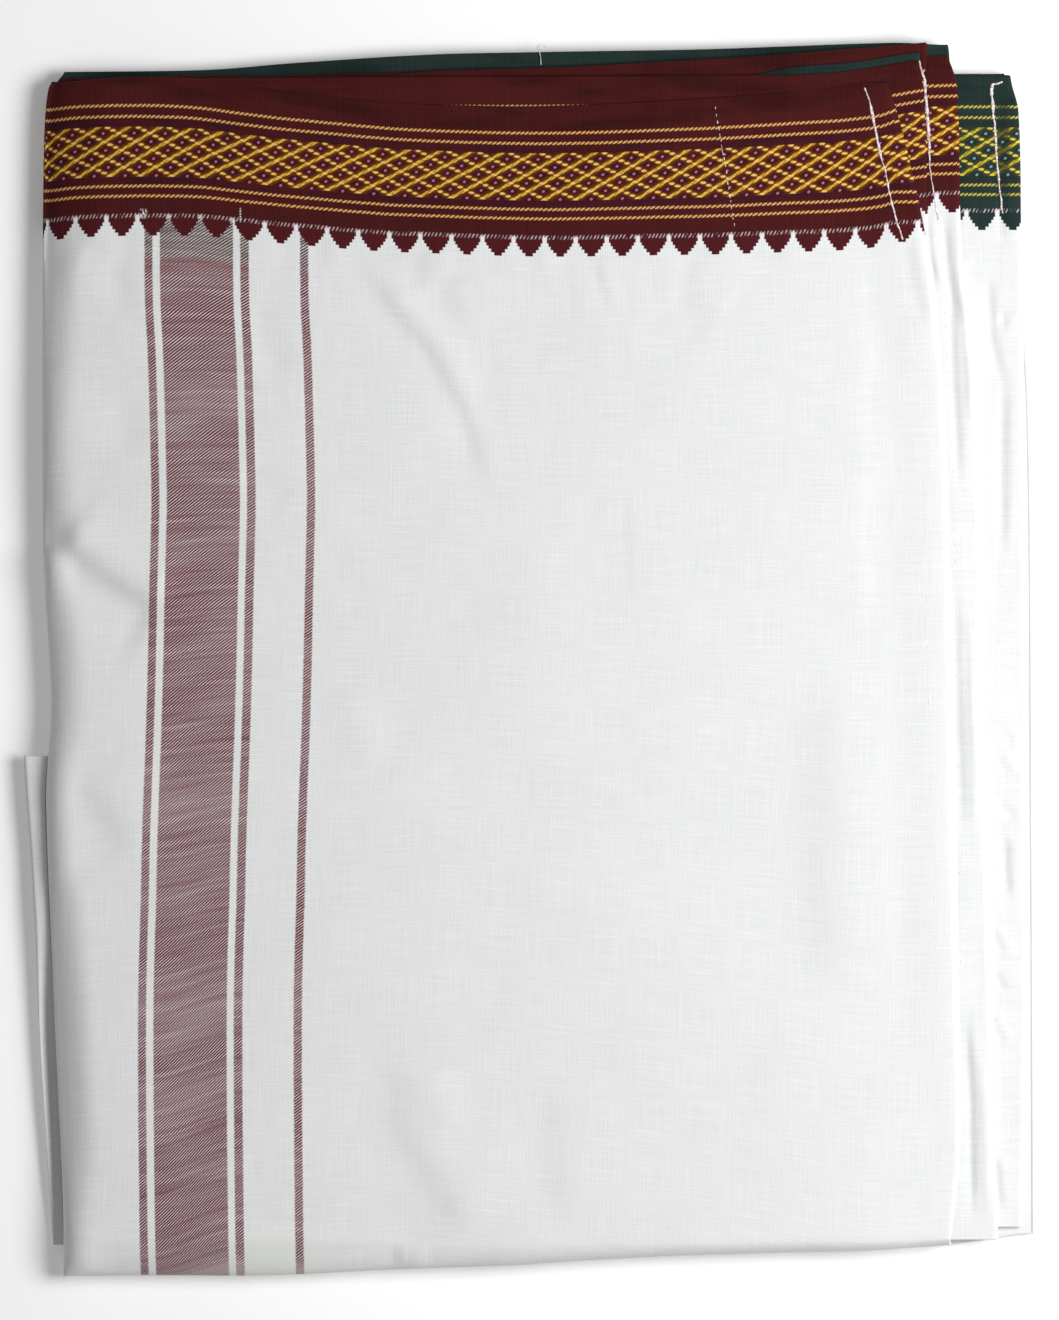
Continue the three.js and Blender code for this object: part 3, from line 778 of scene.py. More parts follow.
def body_weave(name, stripes=False):
    w = Weave(name)
    colour, height = plain_weave(w)
    if stripes:
        colour, where = cross_stripes(w, colour)
        height = height + (w.t + w.s * TWILL_LEAN).off(TWILL) * where * 0.25
        # painted shade: the front's bottom facet, turning away from the light, is darkened to a
        # yellow-green grey, more at one patch
        low = (w.t - w.s * FACET_LEAN).over(FACET, 1.5) * w.s.under(-58.0, 16.0)
        patch = w.s.between(-91.0, -64.0, 4.0) * 0.4 + 0.3
        colour = w.mix(low * patch, colour, FACET_PAINTED_SHADE, "DARKEN")
    return w.finish(colour, height, 0.35)


# ---- The front panel ----
# Its creases: a path of points, a width, a height and a step.
FRONT_CREASES = [
    ([(-55.3, 126), (-43.4, 109.7), (-31.6, 97.2), (-20.3, 77), (-11, 50)], 1.7, -0.1, 0.34),
    ([(-50, 127), (-38, 111), (-26.5, 98), (-15.5, 78)], 5.0, 0.6, 0.0),
    ([(-35, 127), (-31.6, 117.5)], 2.4, 0.0, 0.3),
    ([(-26, 119), (-19.4, 101)], 3.6, 0.0, 0.34),
    ([(20.8, 127), (22.6, 118), (26, 109)], 0.9, -0.08, 0.24),
    ([(46, 119), (60.6, 106)], 4.0, 0.0, 0.32),
    ([(31, 54), (31.6, 18)], 1.1, 0.0, 0.1),
    ([(-149, 37), (-142, 32.4), (-134, 26.3), (-126, 20.9), (-114, 14)], 3.7, -0.2, 1.7, 0.18),
    ([(117.5, 135), (120, 118), (124, 103)], 2.0, -0.4, 0.3),
    ([(-131.6, 126), (-126.3, 106)], 4.5, -0.4, 0.0),
    ([(-127.2, 84), (-127, 62)], 6.0, -0.45, 0.0),
    ([(-86, 114), (-77.8, 86)], 5.0, -0.45, 0.0),
    ([(-90, 60), (-74.7, 48)], 5.5, -0.35, 0.0),
    ([(-141, -37), (-133, -47), (-124, -63)], 4.0, 0.0, 0.6),
    ([(105.3, 126), (105.6, 65), (105.6, 4)], 2.0, 0.0, -0.14, 0.08),
    ([(91, 0), (89.4, -62.8), (94, -110)], 8.0, 0.0, 0.85),
    ([(-42, -122), (-40.3, -147), (-28, -166), (-21, -184)], 4.6, 0.0, 0.55),
    ([(-32, -128), (-24, -148)], 6.0, 0.4, 0.0),
    ([(7, -128), (9.7, -180)], 3.6, 0.0, 0.26),
    ([(-7, -62), (-1, -84)], 6.0, 0.0, 0.25),
    ([(-57.5, -6), (-50, -36)], 6.5, 0.4, 0.0),
    ([(-150, -183.2), (-100, -183.4), (-38, -183.2)], 0.9, 0.0, 0.34, 0.1),
    ([(-41, -182), (-41, -191)], 0.8, 0.0, 0.3),
    ([(-35, -183), (-35, -192)], 2.2, 0.4, 0.0),
]
# How far the cloth sags beside its rolled left side, by y.
LEFT_SAG = [
    (185, 3.1), (140, 2.9), (124, 2.4), (112, 1.7), (95, 1.2), (75, 0.6), (50, 1), (43, 1.5),
    (37, 1.9), (33.5, 1), (30, -0.4), (24, 0), (16, 0.9), (6, 1), (-10, 0.8), (-25, 0.5),
    (-36, -0.4), (-50, -0.2), (-67, 0.1), (-77, 1), (-106, 1.5), (-150, 1.5), (-168, 0.6),
    (-180, 0),
]
left_sag = curve(LEFT_SAG)
LOW_SAG = 0.7
PUCKER_DEPTH = 16.0  # how far the puckers below the border reach
RIGHT_RISE = 0.8  # how far the front climbs to its right edge


def front_relief(x, y):
    lift = creased(x, y, FRONT_CREASES)
    lift += soft_noise(x, y, 46, 1) * 0.5 + soft_noise(x, y, 21, 2) * 0.16
    lift += RIGHT_RISE * (1 - smooth(front_right(y) - x, 4, 19)) * smooth(y, -150, -90)
    lift += soft_noise(x * 1.3, y, 8, 3) * 0.03
    below = front_split(x) + 3 - y
    pull = np.exp(-np.clip(below, 0, None) / PUCKER_DEPTH) * smooth(below, -6, 2)
    lift += pull * soft_noise(x, y * 0.3, 5.5, 4) * 0.2
    return lift


def side_sag(x, y):
    """How far the front comes down beside its rolled left side, where it is highest."""
    inward = x - left_edge(y)
    reach = 12 + 8 * smooth(y, 120, 140)
    return left_sag(y) * smooth(inward, -0.5, 2) * (1 - smooth(inward, 3.5, reach))


def low_sag(x, y):
    """How far the front comes down beside its rolled bottom."""
    up, width = y - bottom_edge(x), bottom_roll(x)
    depth = LOW_SAG * smooth(x - left_edge(y), 5, 16) * (1 - 0.7 * smooth(x, -75, -35))
    return depth * smooth(up, -0.5, 2) * (1 - smooth(up, 0.35 * width, 1.08 * width))


def selvedge_waves(x, y):
    """The lift that the stretches near the selvedge share."""
    near = smooth(y, 158, 178)
    lift = soft_noise(x, y, 34, 8) * 0.55 + soft_noise(x, y * 0.5, 13, 9) * 0.14
    for path in ([(38, 168), (37, 190)], [(-28, 168), (-31, 186)], [(81, 172), (78, 192)]):
        lift -= crease(x, y, path, 3.2, 0.0, 0.4, 0.2)
    return lift * near * smooth(x, -150, -120)


def lowered(points, drop):
    points = points.copy()
    points[..., 2] -= drop
    return points


def front_flat(points, low_steps):
    """The front's flat coordinates: s along the cloth and t from the selvedge."""
    x, y = plan(points)
    column, row = np.ogrid[:points.shape[0], :points.shape[1]]
    rolled = x[[LEFT_STEPS]] + run_along(points, 0, LEFT_STEPS)
    s = np.where(column < LEFT_STEPS, rolled, x) - sway(y)
    t = GOLD_LINES[0] + (gold_line(x) - y) / squeeze(x)
    rolled = t[:, [low_steps]] - run_along(points, 1, low_steps)
    return np.stack([s, np.where(row < low_steps, rolled, t)], axis=2)


HUG = 0.4
HUG_REACH = 1.8


def hug(inward):
    """How far a selvedge sinks onto the cloth under it, by the distance from its edge."""
    return HUG * np.exp(-inward / HUG_REACH)


LEFT_STEPS, LOW_STEPS, RIGHT_STEPS = 9, 8, 5  # round each of the front's rolls
FRONT_ROLLS = {"left": (LEFT_ROLL, FRONT_TOP - FRONT_LIP), "right": (2.0, 1.1)}


def front_panel(low, high, rows, low_steps, rolls):
    """(the points of a part of the front, their flat coordinates, their lift)."""
    width = front_right(0.0) - left_edge(0.0) - LEFT_ROLL
    columns = Stations(np.linspace(0, 1, round(float(width) / STEP)), LEFT_STEPS, RIGHT_STEPS)
    rows = Stations(np.linspace(0, 1, rows), low_steps)
    points = panel(left_edge, front_right, low, high, FRONT_TOP, columns, rows, rolls)
    x, y = plan(points)
    settled = smooth(x, left_edge(y) - 1, left_edge(y) + 12) * 0.75 + 0.25  # lower at the roll
    return points, front_flat(points, low_steps), front_relief(x, y) * settled


def front_body():
    rolls = dict(FRONT_ROLLS, low=(bottom_roll, FRONT_TOP - FRONT_LIP))
    rows = round(float(front_split(0.0) - bottom_edge(0.0)) / STEP)
    points, flat, lift = front_panel(bottom_edge, front_split, rows, LOW_STEPS, rolls)
    x, y = plan(points)
    points = lowered(raised(points, lift), side_sag(x, y) + low_sag(x, y))
    piece = shell("front_cloth", points, flat, body_weave("front_white", True), seams=("high",))
    return as_cloth(piece, "front_body", "white_cotton", (0.295, 0.325))


def front_border():
    rows = round(BORDER_DEPTH / STEP * 1.3)
    points, flat, lift = front_panel(front_split, front_selvedge, rows, 0, FRONT_ROLLS)
    x, y = plan(points)
    lift += selvedge_waves(x, y)
    lift -= hug(front_selvedge(x) - y)
    points = lowered(raised(points, lift), side_sag(x, y))
    material = border_weave("front_maroon", **MAROON, stripes=True, stretched=True)
    piece = shell("front_border_cloth", points, flat, material, seams=("low",))
    return as_cloth(piece, "front_border", "maroon_border", (0.285, 0.0525))


# ---- The stretches under the front border ----
def inside_roll(z):
    """How far in from the left edge a stretch starts, to stay inside the front's roll."""
    rise = min(max((z - FRONT_LIP) / (FRONT_TOP - 1.0 - FRONT_LIP), 0), 1)
    return 1.3 + arc_inset(LEFT_ROLL - 1.0, rise) + 0.8


NOSE = (1.2, 0.9)
LOWEST_SAG = 5.6  # the stretches above this height share the front's sag


def band(name, node, selvedge, right, top, material, squeeze=1.0, slack=0.0, creases=()):
    """A flat stretch in the border, with its folded edge at the right."""
    selvedge, right = curve(selvedge), curve(right)
    columns = Stations(1 - np.linspace(1, 0, 150) ** 1.9, 0, 4)
    rows = Stations(1 - np.linspace(1, 0, 26) ** 1.4)
    left = lambda y: left_edge(y) + inside_roll(top)
    points = panel(left, right, level(BAND_LOW), selvedge, top, columns, rows, {"right": NOSE})
    x, y = plan(points)
    flat = np.stack([x, (selvedge(x) - slack - y) / squeeze], axis=2)
    lift = selvedge_waves(x, y) - hug(selvedge(x) - y)
    lift += creased(x, y, creases)
    share = (top - LOWEST_SAG) / (FRONT_TOP - LOWEST_SAG)
    points = lowered(raised(points, lift), side_sag(x, y) * share)
    piece = shell(name, points, flat, material, THIN, seams=("low",))
    width, height = float(right(150.0) - left(150.0)), float(selvedge(0.0)) - BAND_LOW
    slot = "green_border" if "green" in node else "maroon_border"
    return as_cloth(piece, node, slot, (width * MM, height * MM))


def hairpin_grid(open_x, fold, low, high, top, side, hidden, shown, rows):
    """The outer face of a stretch folded back on itself, from its top ply round to its lower.
    side is 1 for a fold at the right. hidden: (the share of its width under others, columns)."""
    y = np.linspace(low, high, rows)
    radius = HAIRPIN / 2
    share = np.r_[np.linspace(0, *hidden, endpoint=False), np.linspace(hidden[0], 1, shown)]
    angle = np.linspace(math.pi / 2, -math.pi / 2, HAIRPIN_STEPS)[:, None]
    centre = fold(y) - side * radius

    def ply(x, z):
        return np.stack(np.broadcast_arrays(x, y, z), axis=2)

    upper = ply(lerp(open_x(y), centre, share[:-1, None]), top)
    nose = ply(centre + side * radius * np.cos(angle), top - radius + radius * np.sin(angle))
    lower = upper[::-1].copy()
    lower[..., 2] = top - HAIRPIN
    return np.concatenate([upper, nose, lower]), len(upper), len(nose)


def top_ply(grid, upper, nose):
    """1 on a folded stretch's top ply and 0 on its lower one."""
    return 1 - smooth(np.arange(len(grid)), upper + nose * 0.5, upper + nose)[:, None]


def white_strip(name, node, right, low, top, creases, seed):
    """A folded edge of the plain cloth at the right."""
    fold = curve(right)
    grid, upper, nose = hairpin_grid(
        level(STRIP_LEFT), fold, low, BAND_LOW, top, 1, (0.72, 6), 26, 200
    )
    x, y = plan(grid)
    near_fold = smooth(np.arange(len(grid)), upper - 8, upper)[:, None]
    below_seam = smooth(BAND_LOW - y, 0, SEAM_REACH)
    lift = soft_noise(x, y * 0.35, 7, seed) * 0.16 + soft_noise(x, y * 0.5, 22, seed + 1) * 0.18
    lift = lift * below_seam + creased(x, y, creases)
    edge_wave = wander(y, 9, seed + 2) * 0.25 + wander(y, 3, seed + 3) * 0.06
    points = raised(grid, lift * top_ply(grid, upper, nose))
    points[..., 0] += edge_wave * near_fold * below_seam
    s = x[0][None] + run_along(grid, 0, 0)
    flat = np.stack([s, 185.0 - y], axis=2)
    piece = shell(name, points, flat, body_weave(name + "_white"), THIN, seams=("high",))
    width = 2 * (float(fold(0.0)) - STRIP_LEFT)
    return as_cloth(piece, node, "white_cotton", (width * MM, (BAND_LOW - low) * MM))


THIRD_CREASES = [
    ([(124.4, 140), (125.4, 128), (127.6, 116)], 0.9, -0.6, 0.2),
    ([(130, 141), (131, 125), (134, 103)], 1.8, -0.7, 0.4),
    ([(132, 120), (133, 90), (135, 50)], 1.6, -0.5, 0.3),
    ([(136, 122), (137.5, 100), (138.5, 70)], 1.5, 0.45, 0.2),
    ([(133.5, 30), (134.5, -20), (136, -60)], 1.5, -0.35, 0.2),
    ([(138.5, 20), (139.5, -30), (140, -60)], 1.6, 0.4, 0.0),
    ([(137, -110), (138.5, -140), (139, -178)], 1.4, -0.5, 0.4),
    ([(142, -120), (143, -150), (144, -178)], 1.6, 0.35, 0.0),
]
FOURTH_CREASES = [
    ([(144, 122), (145, 100), (149, 84)], 1.6, -0.5, 0.3),
    ([(147.5, 108), (150, 104)], 1.6, -0.6, 0.2),
    ([(149, 94), (148.5, 60), (148.5, 28)], 1.8, -0.5, 0.4),
    ([(147, -22), (152, -26)], 1.2, -0.4, 0.2),
    ([(148, -30), (153, -35)], 1.3, 0.4, 0.2),
    ([(147, -45), (153, -50)], 1.3, -0.4, 0.2),
    ([(149, -54), (150, -76)], 1.7, -0.6, 0.4),
    ([(146, -84), (151, -92)], 1.1, 0.35, 0.2),
    ([(145.5, -98), (150, -104)], 1.1, -0.35, 0.2),
    ([(146, -112), (151, -120)], 1.2, 0.35, 0.2),
    ([(146, -154), (148, -174)], 1.2, -0.4, 0.3),
]


FOURTH_SLACK, FOURTH_SQUEEZE = 1.35, 0.965  # as a band's slack and squeeze


def fourth_border():
    grid, upper, nose = hairpin_grid(
        lambda y: left_edge(y) + 2.3, curve(FOURTH_RIGHT_EDGE), BAND_LOW, FOURTH_HIGH, FOURTH_TOP,
        1, (0.9, 40), 30, 40,
    )
    x, y = plan(grid)
    lift = soft_noise(x, y, 14, 71) * 0.12
    lift += crease(x, y, [(147.6, 182), (147.8, 150), (148.6, 126)], 1.2, -0.45, 0.3)
    points = raised(grid, lift * top_ply(grid, upper, nose) * smooth(y - BAND_LOW, 0, SEAM_REACH))
    s = x[0][None] + run_along(grid, 0, 0)
    flat = np.stack([s, (FOURTH_HIGH - FOURTH_SLACK - y) / FOURTH_SQUEEZE], axis=2)
    material = border_weave(
        "fourth_green", **GREEN, s_shift=141.9, lattice_shift=LATTICE_SHIFT - 1.6,
        # the gold between these two places is darkened with painted shade
        painted_shade_span=(4.6, 8.6), early=1.0,
    )
    piece = shell("fourth_border_cloth", points, flat, material, THIN, seams=("low",))
    return as_cloth(piece, "fourth_border", "green_border", (0.605, 0.0588))


TONGUE_DIP = 3.6  # how far the tongue's lower part sinks beside the plies


def tongue():
    grid, _, _ = hairpin_grid(
        lambda y: left_edge(y) - 0.3, curve(TONGUE_EDGE), TONGUE_LOW, TONGUE_HIGH, TONGUE_TOP,
        -1, (0.2, 2), 8, 90,
    )
    x, y = plan(grid)
    lift = soft_noise(x, y * 0.4, 6, 81) * 0.12
    inner = smooth(x, left_edge(y) - 7, left_edge(y) - 2)
    points = lowered(raised(grid, lift, -1), TONGUE_DIP * inner * smooth(-y, 80, 125))
    flat = np.stack([x[0][None] - run_along(grid, 0, 0), TONGUE_HIGH - y], axis=2)
    piece = shell("tongue_cloth", points, flat, body_weave("tongue_white"), THIN, facing=-1)
    as_cloth(piece, "left_tongue", "white_cotton", (0.0105, 0.153))


# ---- The hidden plies ----
PLY = 0.68  # the height of one ply's nose
PLY_SHARES = (0.02, 0.2, 0.5, 0.8, 0.98)  # where up a nose its outlines lie
LEDGE_Z = 3.02  # the plies reach to the back's selvedge and right edge below this
LOWEST_PLY, HIGHEST_PLY = 1.3, 6.0
PLY_INSETS = ((1.9, 1.7), (LEDGE_Z, 1.1), (HIGHEST_PLY, 0.35))  # each up to a height
PLY_SEED = 90
PLY_SHARP = 60
FOLD_REACH = 0.55  # how far a ply's round nose stands out of the crevices beside it
UPPER_LOOPS = (6.9, 7.6, 8.2, 8.3, 8.6, 9.0, 10.0, 11.1)  # heights of the outlines in the front
UNDER_FRONT = 8.25  # above this they reach to the front's right edge
SAG_CLEARANCE = 12  # how far they stay from the sagging left and bottom
SAG_HEIGHTS = (8.4, 9)  # between these heights that distance grows
PLY_CORNER = 7.0  # the radius of their bottom left corner
SIDE_POINTS = 130  # on each side of an outline
LOOP_STEP = 2.4  # about how far an outline's points lie apart


def hidden_loop(z, inset):
    """One level outline of the hidden plies, once round. inset may be a function of the run."""
    below = z < LEDGE_Z
    rise = max(0.0, (z - FRONT_LIP) / (FRONT_TOP - FRONT_LIP))
    clear = SAG_CLEARANCE * float(smooth(z, *SAG_HEIGHTS))
    corner = PLY_CORNER
    left = lambda y: left_edge(y) + arc_inset(LEFT_ROLL, rise) + clear
    low = lambda x: bottom_edge(x) + arc_inset(bottom_roll(x), rise) + clear
    right = back_right if below else level(STRIP_LEFT - 0.3)
    if z > UNDER_FRONT:
        right = lambda y: np.minimum(front_right(y), front_right(BAND_LOW)) - 3
    high = back_selvedge if below else level(BAND_LOW - 0.3)
    y_top = float(high(-150.0))
    y_corner = float(low(-146.0)) + corner
    x_corner = float(left(y_corner)) + corner
    x_end = float(right(-180.0))
    y_end = float(low(x_end))
    upright = np.linspace(y_top, y_corner, SIDE_POINTS)
    turn = np.linspace(0, math.pi / 2, 10)[1:-1]
    across = np.linspace(x_corner, x_end, SIDE_POINTS)
    up = np.linspace(y_end, float(high(x_end)), SIDE_POINTS)[1:]
    back = np.linspace(float(right(y_top)), float(left(y_top)), SIDE_POINTS)[1:-1]
    x = np.r_[left(upright), x_corner - corner * np.cos(turn), across, right(up), back]
    y = np.r_[upright, y_corner - corner * np.sin(turn), low(across), up, high(back)]
    outline = np.stack([x, y], axis=1)
    tangent = unit(np.roll(outline, -1, axis=0) - np.roll(outline, 1, axis=0))
    inward = np.stack([-tangent[:, 1], tangent[:, 0]], axis=1)
    depth = inset(np.arange(len(outline)) * LOOP_STEP) if callable(inset) else inset
    outline = outline + inward * np.reshape(depth * np.ones(len(outline)), (-1, 1))
    return np.column_stack([outline, np.full(len(outline), z)])


def ply_inset(base, nose, seed):
    """How far in a ply's outline lies, by the run along it."""
    def inset(run):
        wave = wander(run, 34, seed) * 0.45 + wander(run, 9, seed + 30) * 0.12
        return base + nose + 0.25 + wave * 0.4

    return inset


def ply_loops():
    """The plies' outlines from the lowest to the highest, a round nose for each ply."""
    loops = []
    z, seed = LOWEST_PLY, PLY_SEED
    while z < HIGHEST_PLY:
        base = next(inset for top, inset in PLY_INSETS if z < top)
        for share in PLY_SHARES:
            nose = arc_inset(FOLD_REACH, 2 * share - 1)
            height = z + share * PLY
            at_lip = LEDGE_Z - 0.3 < height < LEDGE_Z
            loops.append(hidden_loop(height, 0.5 if at_lip else ply_inset(base, nose, seed)))
        z += PLY
        seed += 1
    loops += [hidden_loop(height, 1.4) for height in UPPER_LOOPS]
    return np.array(sorted(loops, key=lambda loop: loop[0, 2]))


def hidden_plies():
    loops = ply_loops()
    levels, size = loops.shape[:2]
    points = loops.reshape(-1, 3)
    faces = ring_faces(np.arange(levels * size).reshape(levels, size))
    corner = np.concatenate(faces)
    cloth = np.stack([np.tile(np.arange(size) * LOOP_STEP, levels), points[:, 2] * 3 + 60], axis=1)
    bake = np.stack([np.tile(np.arange(size) / size, levels),
                     np.repeat(np.arange(levels) / levels, size)], axis=1) * 0.9 + 0.05
    maps = [("Cloth", cloth[corner]), ("OFBake", bake[corner])]
    piece = new_piece("folded_plies", points, faces, body_weave("plies_white"), maps, PLY_SHARP)
    as_cloth(piece, "hidden_layers", "white_cotton", (0.3, 0.365))


# ---- The back ----
BACK_ROLLS = {"left": (BACK_ROLL, BACK_LIP), "right": (BACK_ROLL, BACK_LIP)}


def back(name, node, low, high, rows, rolls, material, slot, seam, flat_size):
    columns = Stations(np.linspace(0, 1, 120), 5, 5)
    points = panel(left_edge, back_right, low, high, 0.0, columns, rows, rolls, face_down=True)
    x, y = plan(points)
    flat = np.stack([x, back_selvedge(x) - y], axis=2)
    piece = shell(name, points, flat, material, facing=-1, seams=(seam,))
    as_cloth(piece, node, slot, flat_size)


# ---- Basting threads ----
THREAD_SIDES = 8
THREAD_FLATNESS = 0.4
THREAD_STEP = 0.4
RAY_START = 0.05  # metres, well over the cloth
FIBRE_SCALE = 1500  # of a thread's fibres, for each metre


def cloth_top(pieces):
    """A function that finds the cloth's height, in millimetres, at a place."""
    trees = [
        BVHTree.FromPolygons(
            [v.co for v in piece.data.vertices], [p.vertices for p in piece.data.polygons]
        )
        for piece in pieces
    ]

    def height(x, y):
        start, down = Vector((x * MM, y * MM, RAY_START)), Vector((0, 0, -1))
        hits = (tree.ray_cast(start, down)[0] for tree in trees)
        return max((hit.z / MM for hit in hits if hit), default=0.0)

    return height


def along(path, step=THREAD_STEP):
    """(distances, points) along a path of (x, y, half width) points."""
    path = np.array(path, float)
    run = np.r_[0, np.cumsum(np.linalg.norm(np.diff(path[:, :2], axis=0), axis=1))]
    at = np.linspace(0, run[-1], int(run[-1] / step) + 2)
    return at, np.stack([np.interp(at, run, path[:, k]) for k in range(3)], axis=1)


def dashes(path, length, gap, seed):
    """Cuts a path into a running stitch's short uneven lengths."""
    chance = np.random.RandomState(seed)
    at, points = along(path, 0.25)
    start = 0.0
    while start < at[-1] - length:
        end = start + length * chance.uniform(0.6, 1.3)
        yield points[(at >= start) & (at <= end)]
        start = end + gap * chance.uniform(0.6, 1.4)


def threads(name, height, paths, material, seed):
    """White threads that lie on the cloth, each along a path of (x, y, half width) points."""
    points, faces = [], []
    for number, path in enumerate(paths):
        at, places = along(path)
        x, y, size = places.T
        x = x + wander(at, 2.2, seed + number) * 0.14
        size = size * (0.84 + 0.34 * wander(at, 0.9, seed + number + 1))
        z = np.array([height(*place) for place in zip(x, y)])
        centre = np.stack([x, y, z + size * THREAD_FLATNESS * 0.4], axis=1)
        heading = unit(np.gradient(centre[:, :2], axis=0))
        across = np.stack([-heading[:, 1], heading[:, 0], 0 * x], axis=1)
        angle = np.arange(THREAD_SIDES) / THREAD_SIDES * 2 * math.pi
        reach = size[:, None, None] * across[:, None] * np.cos(angle)[:, None]
        rise = size[:, None, None] * THREAD_FLATNESS * np.sin(angle)[:, None] * np.array([0, 0, 1])
        index = np.arange(len(at) * THREAD_SIDES).reshape(len(at), THREAD_SIDES)
        faces += ring_faces(index + sum(len(p) for p in points))
        points.append((centre[:, None] + reach + rise).reshape(-1, 3))
    new_piece(name, np.concatenate(points), faces, material)


def thread_material(name, dark):
    """Fine fibres between a dark colour and a light one."""
    material, tree, shader = new_material(name)
    place = add_node(tree, "TexCoord", {}).outputs["Object"]
    fibres = add_node(tree, "TexNoise", {"Scale": FIBRE_SCALE, "Vector": place})
    share = Field(tree, fibres.outputs["Fac"]).over(0.48, 0.12)
    tint = mixed(tree, share, dark, linear(246, 240, 242))
    feed(shader, {"Base Color": tint, "Roughness": 0.85})
    return material


# ---- The pieces ----
front = front_body()
border = front_border()
second = band(
    "second_border_cloth", "second_border", SECOND_SELVEDGE, SECOND_RIGHT_EDGE, SECOND_TOP,
    border_weave("second_maroon", **MAROON, s_shift=125.0),
    squeeze=0.945, slack=0.85,
)
green_fold = band(
    "green_fold_cloth", "green_fold_border", GREEN_FOLD_SELVEDGE, GREEN_FOLD_RIGHT_EDGE,
    GREEN_FOLD_TOP, border_weave("green_fold", **GREEN),
)
raised_cloth = band(
    "raised_border_cloth", "raised_border", RAISED_SELVEDGE, RAISED_RIGHT_EDGE, RAISED_TOP,
    border_weave("raised_maroon", **MAROON),
)
third = band(
    "third_border_cloth", "third_border", THIRD_SELVEDGE, THIRD_RIGHT_EDGE, THIRD_TOP,
    border_weave("third_maroon", **MAROON, s_shift=132.5),
    squeeze=0.97, slack=0.65, creases=THIRD_CREASES,
)
green_top = band(
    "green_top_cloth", "green_top_border", GREEN_TOP_SELVEDGE, GREEN_TOP_RIGHT_EDGE,
    GREEN_TOP_TOP, border_weave("green_top", **GREEN),
)
third_strip = white_strip(
    "third_cloth", "third_body", THIRD_RIGHT_EDGE, THIRD_LOW, THIRD_TOP, THIRD_CREASES, 61,
)
fourth = fourth_border()
fourth_strip = white_strip(
    "fourth_cloth", "fourth_body", FOURTH_RIGHT_EDGE, FOURTH_LOW, FOURTH_TOP, FOURTH_CREASES, 66,
)
tongue()
hidden_plies()
back(
    "back_cloth", "back_body", bottom_edge, level(BAND_LOW),
    Stations(np.linspace(0, 1, 110), 5), dict(BACK_ROLLS, low=(level(BACK_ROLL), BACK_LIP)),
    body_weave("back_white"), "white_cotton", "high", (0.318, 0.32),
)
back(
    "back_border_cloth", "back_border", level(BAND_LOW), back_selvedge,
    Stations(np.linspace(0, 1, 34)), BACK_ROLLS,
    border_weave("back_maroon", **MAROON), "maroon_border", "low", (0.31, 0.0585),
)

# The basting threads' paths: rows of (x, y, half width).
FRONT_THREAD = [
    (105, 178.6, 0.28), (105.6, 176.3, 0.28), (106.4, 174.8, 0.2), (106.9, 172.8, 0.36),
    (107.2, 171, 0.48), (108.6, 164, 0.46), (109.7, 158.5, 0.42), (110.3, 155.8, 0.22),
    (111.3, 152.5, 0.3), (114.2, 139, 0.3), (116.8, 131, 0.26),
]
THIRD_THREAD = [
    (122, 187.2, 0.35), (122.5, 184.6, 0.42), (123.8, 181, 0.6), (124.6, 172, 0.62),
    (125.3, 160, 0.5), (125.5, 154, 0.22), (126.2, 149, 0.2), (126.9, 144.4, 0.24),
    (128.1, 137, 0.26),
]
FOURTH_THREAD = [
    (148.4, 180.9, 0.3), (147, 180.3, 0.3), (145.3, 180.1, 0.36), (145, 178.6, 0.5),
    (145.2, 174, 0.5), (145.8, 168, 0.36), (146.9, 153, 0.36), (148.4, 139.7, 0.32),
]
FAINT_THREAD = [(58.1, 172.5, 0.17), (61.2, 155, 0.18), (64.4, 134, 0.16)]
LOOSE_FIBRE = [
    (3.7, 186, 0.1), (3.8, 188.5, 0.13), (3.1, 190.4, 0.12), (2.5, 191.4, 0.12), (3, 192.3, 0.12),
    (4.2, 192.5, 0.12), (4.9, 191.7, 0.12), (4.3, 190.7, 0.1),
]
FIBRE_LOW = 7.2  # the loose fibre's loop stands out over the edge at this height
FRONT_STITCHES = [(117.4, 128, 0.12), (123.1, 83.4, 0.12), (124.4, 12.2, 0.12),
                  (126.9, -81.6, 0.12), (128.4, -169, 0.12)]
THIRD_STITCHES = [(129, 134.7, 0.2), (130.3, 108.4, 0.2), (132.2, 74.7, 0.16),
                  (133.8, 18.4, 0.14), (135.3, -106.6, 0.12)]
FOURTH_STITCHES = [(148.2, 137, 0.14), (148.6, 60, 0.13), (146.8, -30, 0.13),
                   (146.2, -137.8, 0.12)]

pieces = [front, border, second, green_fold, raised_cloth, third, green_top, third_strip, fourth,
          fourth_strip]
height = cloth_top(pieces)
white_thread = thread_material("loose_thread", linear(180, 152, 158))
stitch_thread = thread_material("stitch_thread", linear(228, 224, 224))
for name, path, seed in (("front_thread", FRONT_THREAD, 201), ("third_thread", THIRD_THREAD, 203),
                         ("fourth_thread", FOURTH_THREAD, 205)):
    threads(name, height, [path], white_thread, seed)
threads("faint_thread", height, list(dashes(FAINT_THREAD, 1.3, 0.8, 5)), white_thread, 207)
threads(
    "loose_fibre", lambda x, y: max(height(x, y), FIBRE_LOW), [LOOSE_FIBRE], white_thread, 215
)
for number, path in enumerate((FRONT_STITCHES, THIRD_STITCHES, FOURTH_STITCHES)):
    runs = list(dashes(path, 1.5, 3.0, 9 + number))
    threads(f"basting_stitches_{number + 1}", height, runs, stitch_thread, 209 + number)

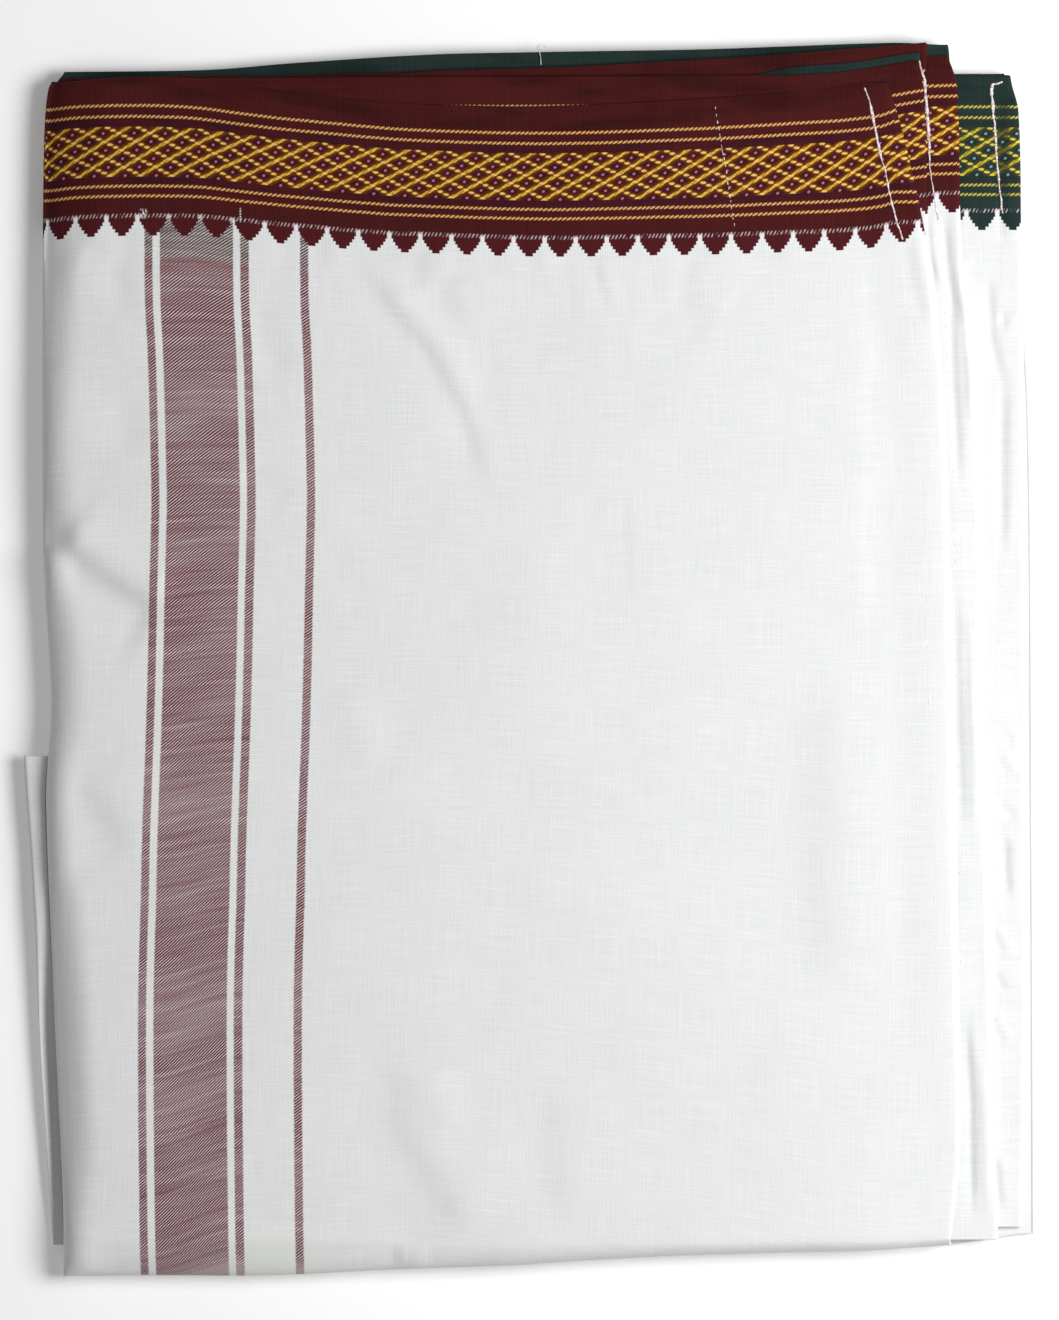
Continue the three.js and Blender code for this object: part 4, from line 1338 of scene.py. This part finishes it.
# ---- Floor, light and camera ----
FLOOR_REACH = 3.0  # metres from the middle to each side
FLOOR_DROP = 0.0002  # metres below the cloth, so that the two don't share a plane
KEY_PLACE = (0.62, 0.01, 0.74)  # metres; the light comes from the right, as in the photograph
KEY_SIZE = 0.6
KEY_WATTS = 10.6
WORLD_STRENGTH = 0.26
LENS, SENSOR = 250.0, 36.0
FRAME_HEIGHT = 412.5  # millimetres of cloth and floor that the picture is high
CAMERA_X, CAMERA_Y = 0.16, -0.31
CAMERA_REACH = 20


def floor():
    far = FLOOR_REACH
    mesh = bpy.data.meshes.new("floor")
    corners = [(-far, -far, 0), (far, -far, 0), (far, far, 0), (-far, far, 0)]
    mesh.from_pydata(corners, [], [(0, 1, 2, 3)])
    plane = placed("floor", mesh)
    plane.location.z = -FLOOR_DROP
    material, _, shader = new_material("pale_floor")
    feed(shader, {
        "Base Color": (0.88, 0.88, 0.88, 1), "Roughness": 0.9, "Specular IOR Level": 0.1,
        "Emission Color": (1, 1, 1, 1), "Emission Strength": 0.14,
    })
    mesh.materials.append(material)
    plane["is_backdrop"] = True


def key_light():
    """A soft round light that points at the cloth's middle."""
    data = bpy.data.lights.new("key", "AREA")
    data.shape = "DISK"
    data.size = KEY_SIZE
    data.energy = KEY_WATTS
    lamp = placed("key", data)
    lamp.location = KEY_PLACE
    lamp.rotation_euler = (-Vector(KEY_PLACE)).to_track_quat("-Z", "Y").to_euler()


def studio():
    world = bpy.data.worlds.new("studio")
    world.use_nodes = True
    sky = world.node_tree.nodes["Background"]
    feed(sky, {"Color": (1, 1, 1, 1), "Strength": WORLD_STRENGTH})
    bpy.context.scene.world = world


def camera():
    """Looks straight down on the cloth, as the photograph does."""
    data = bpy.data.cameras.new("camera")
    data.lens = LENS
    data.sensor_width = SENSOR
    data.clip_end = CAMERA_REACH
    eye = placed("camera", data)
    height = FRONT_TOP + FRAME_HEIGHT * LENS / SENSOR
    eye.location = (CAMERA_X * MM, CAMERA_Y * MM, height * MM)
    bpy.context.scene.camera = eye
    bpy.context.scene.view_settings.view_transform = "Standard"


floor()
key_light()
studio()
camera()

boxes = {"cad": CAD_BOX, "visual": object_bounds()}
{name: [list(corner) for corner in box] for name, box in boxes.items()}
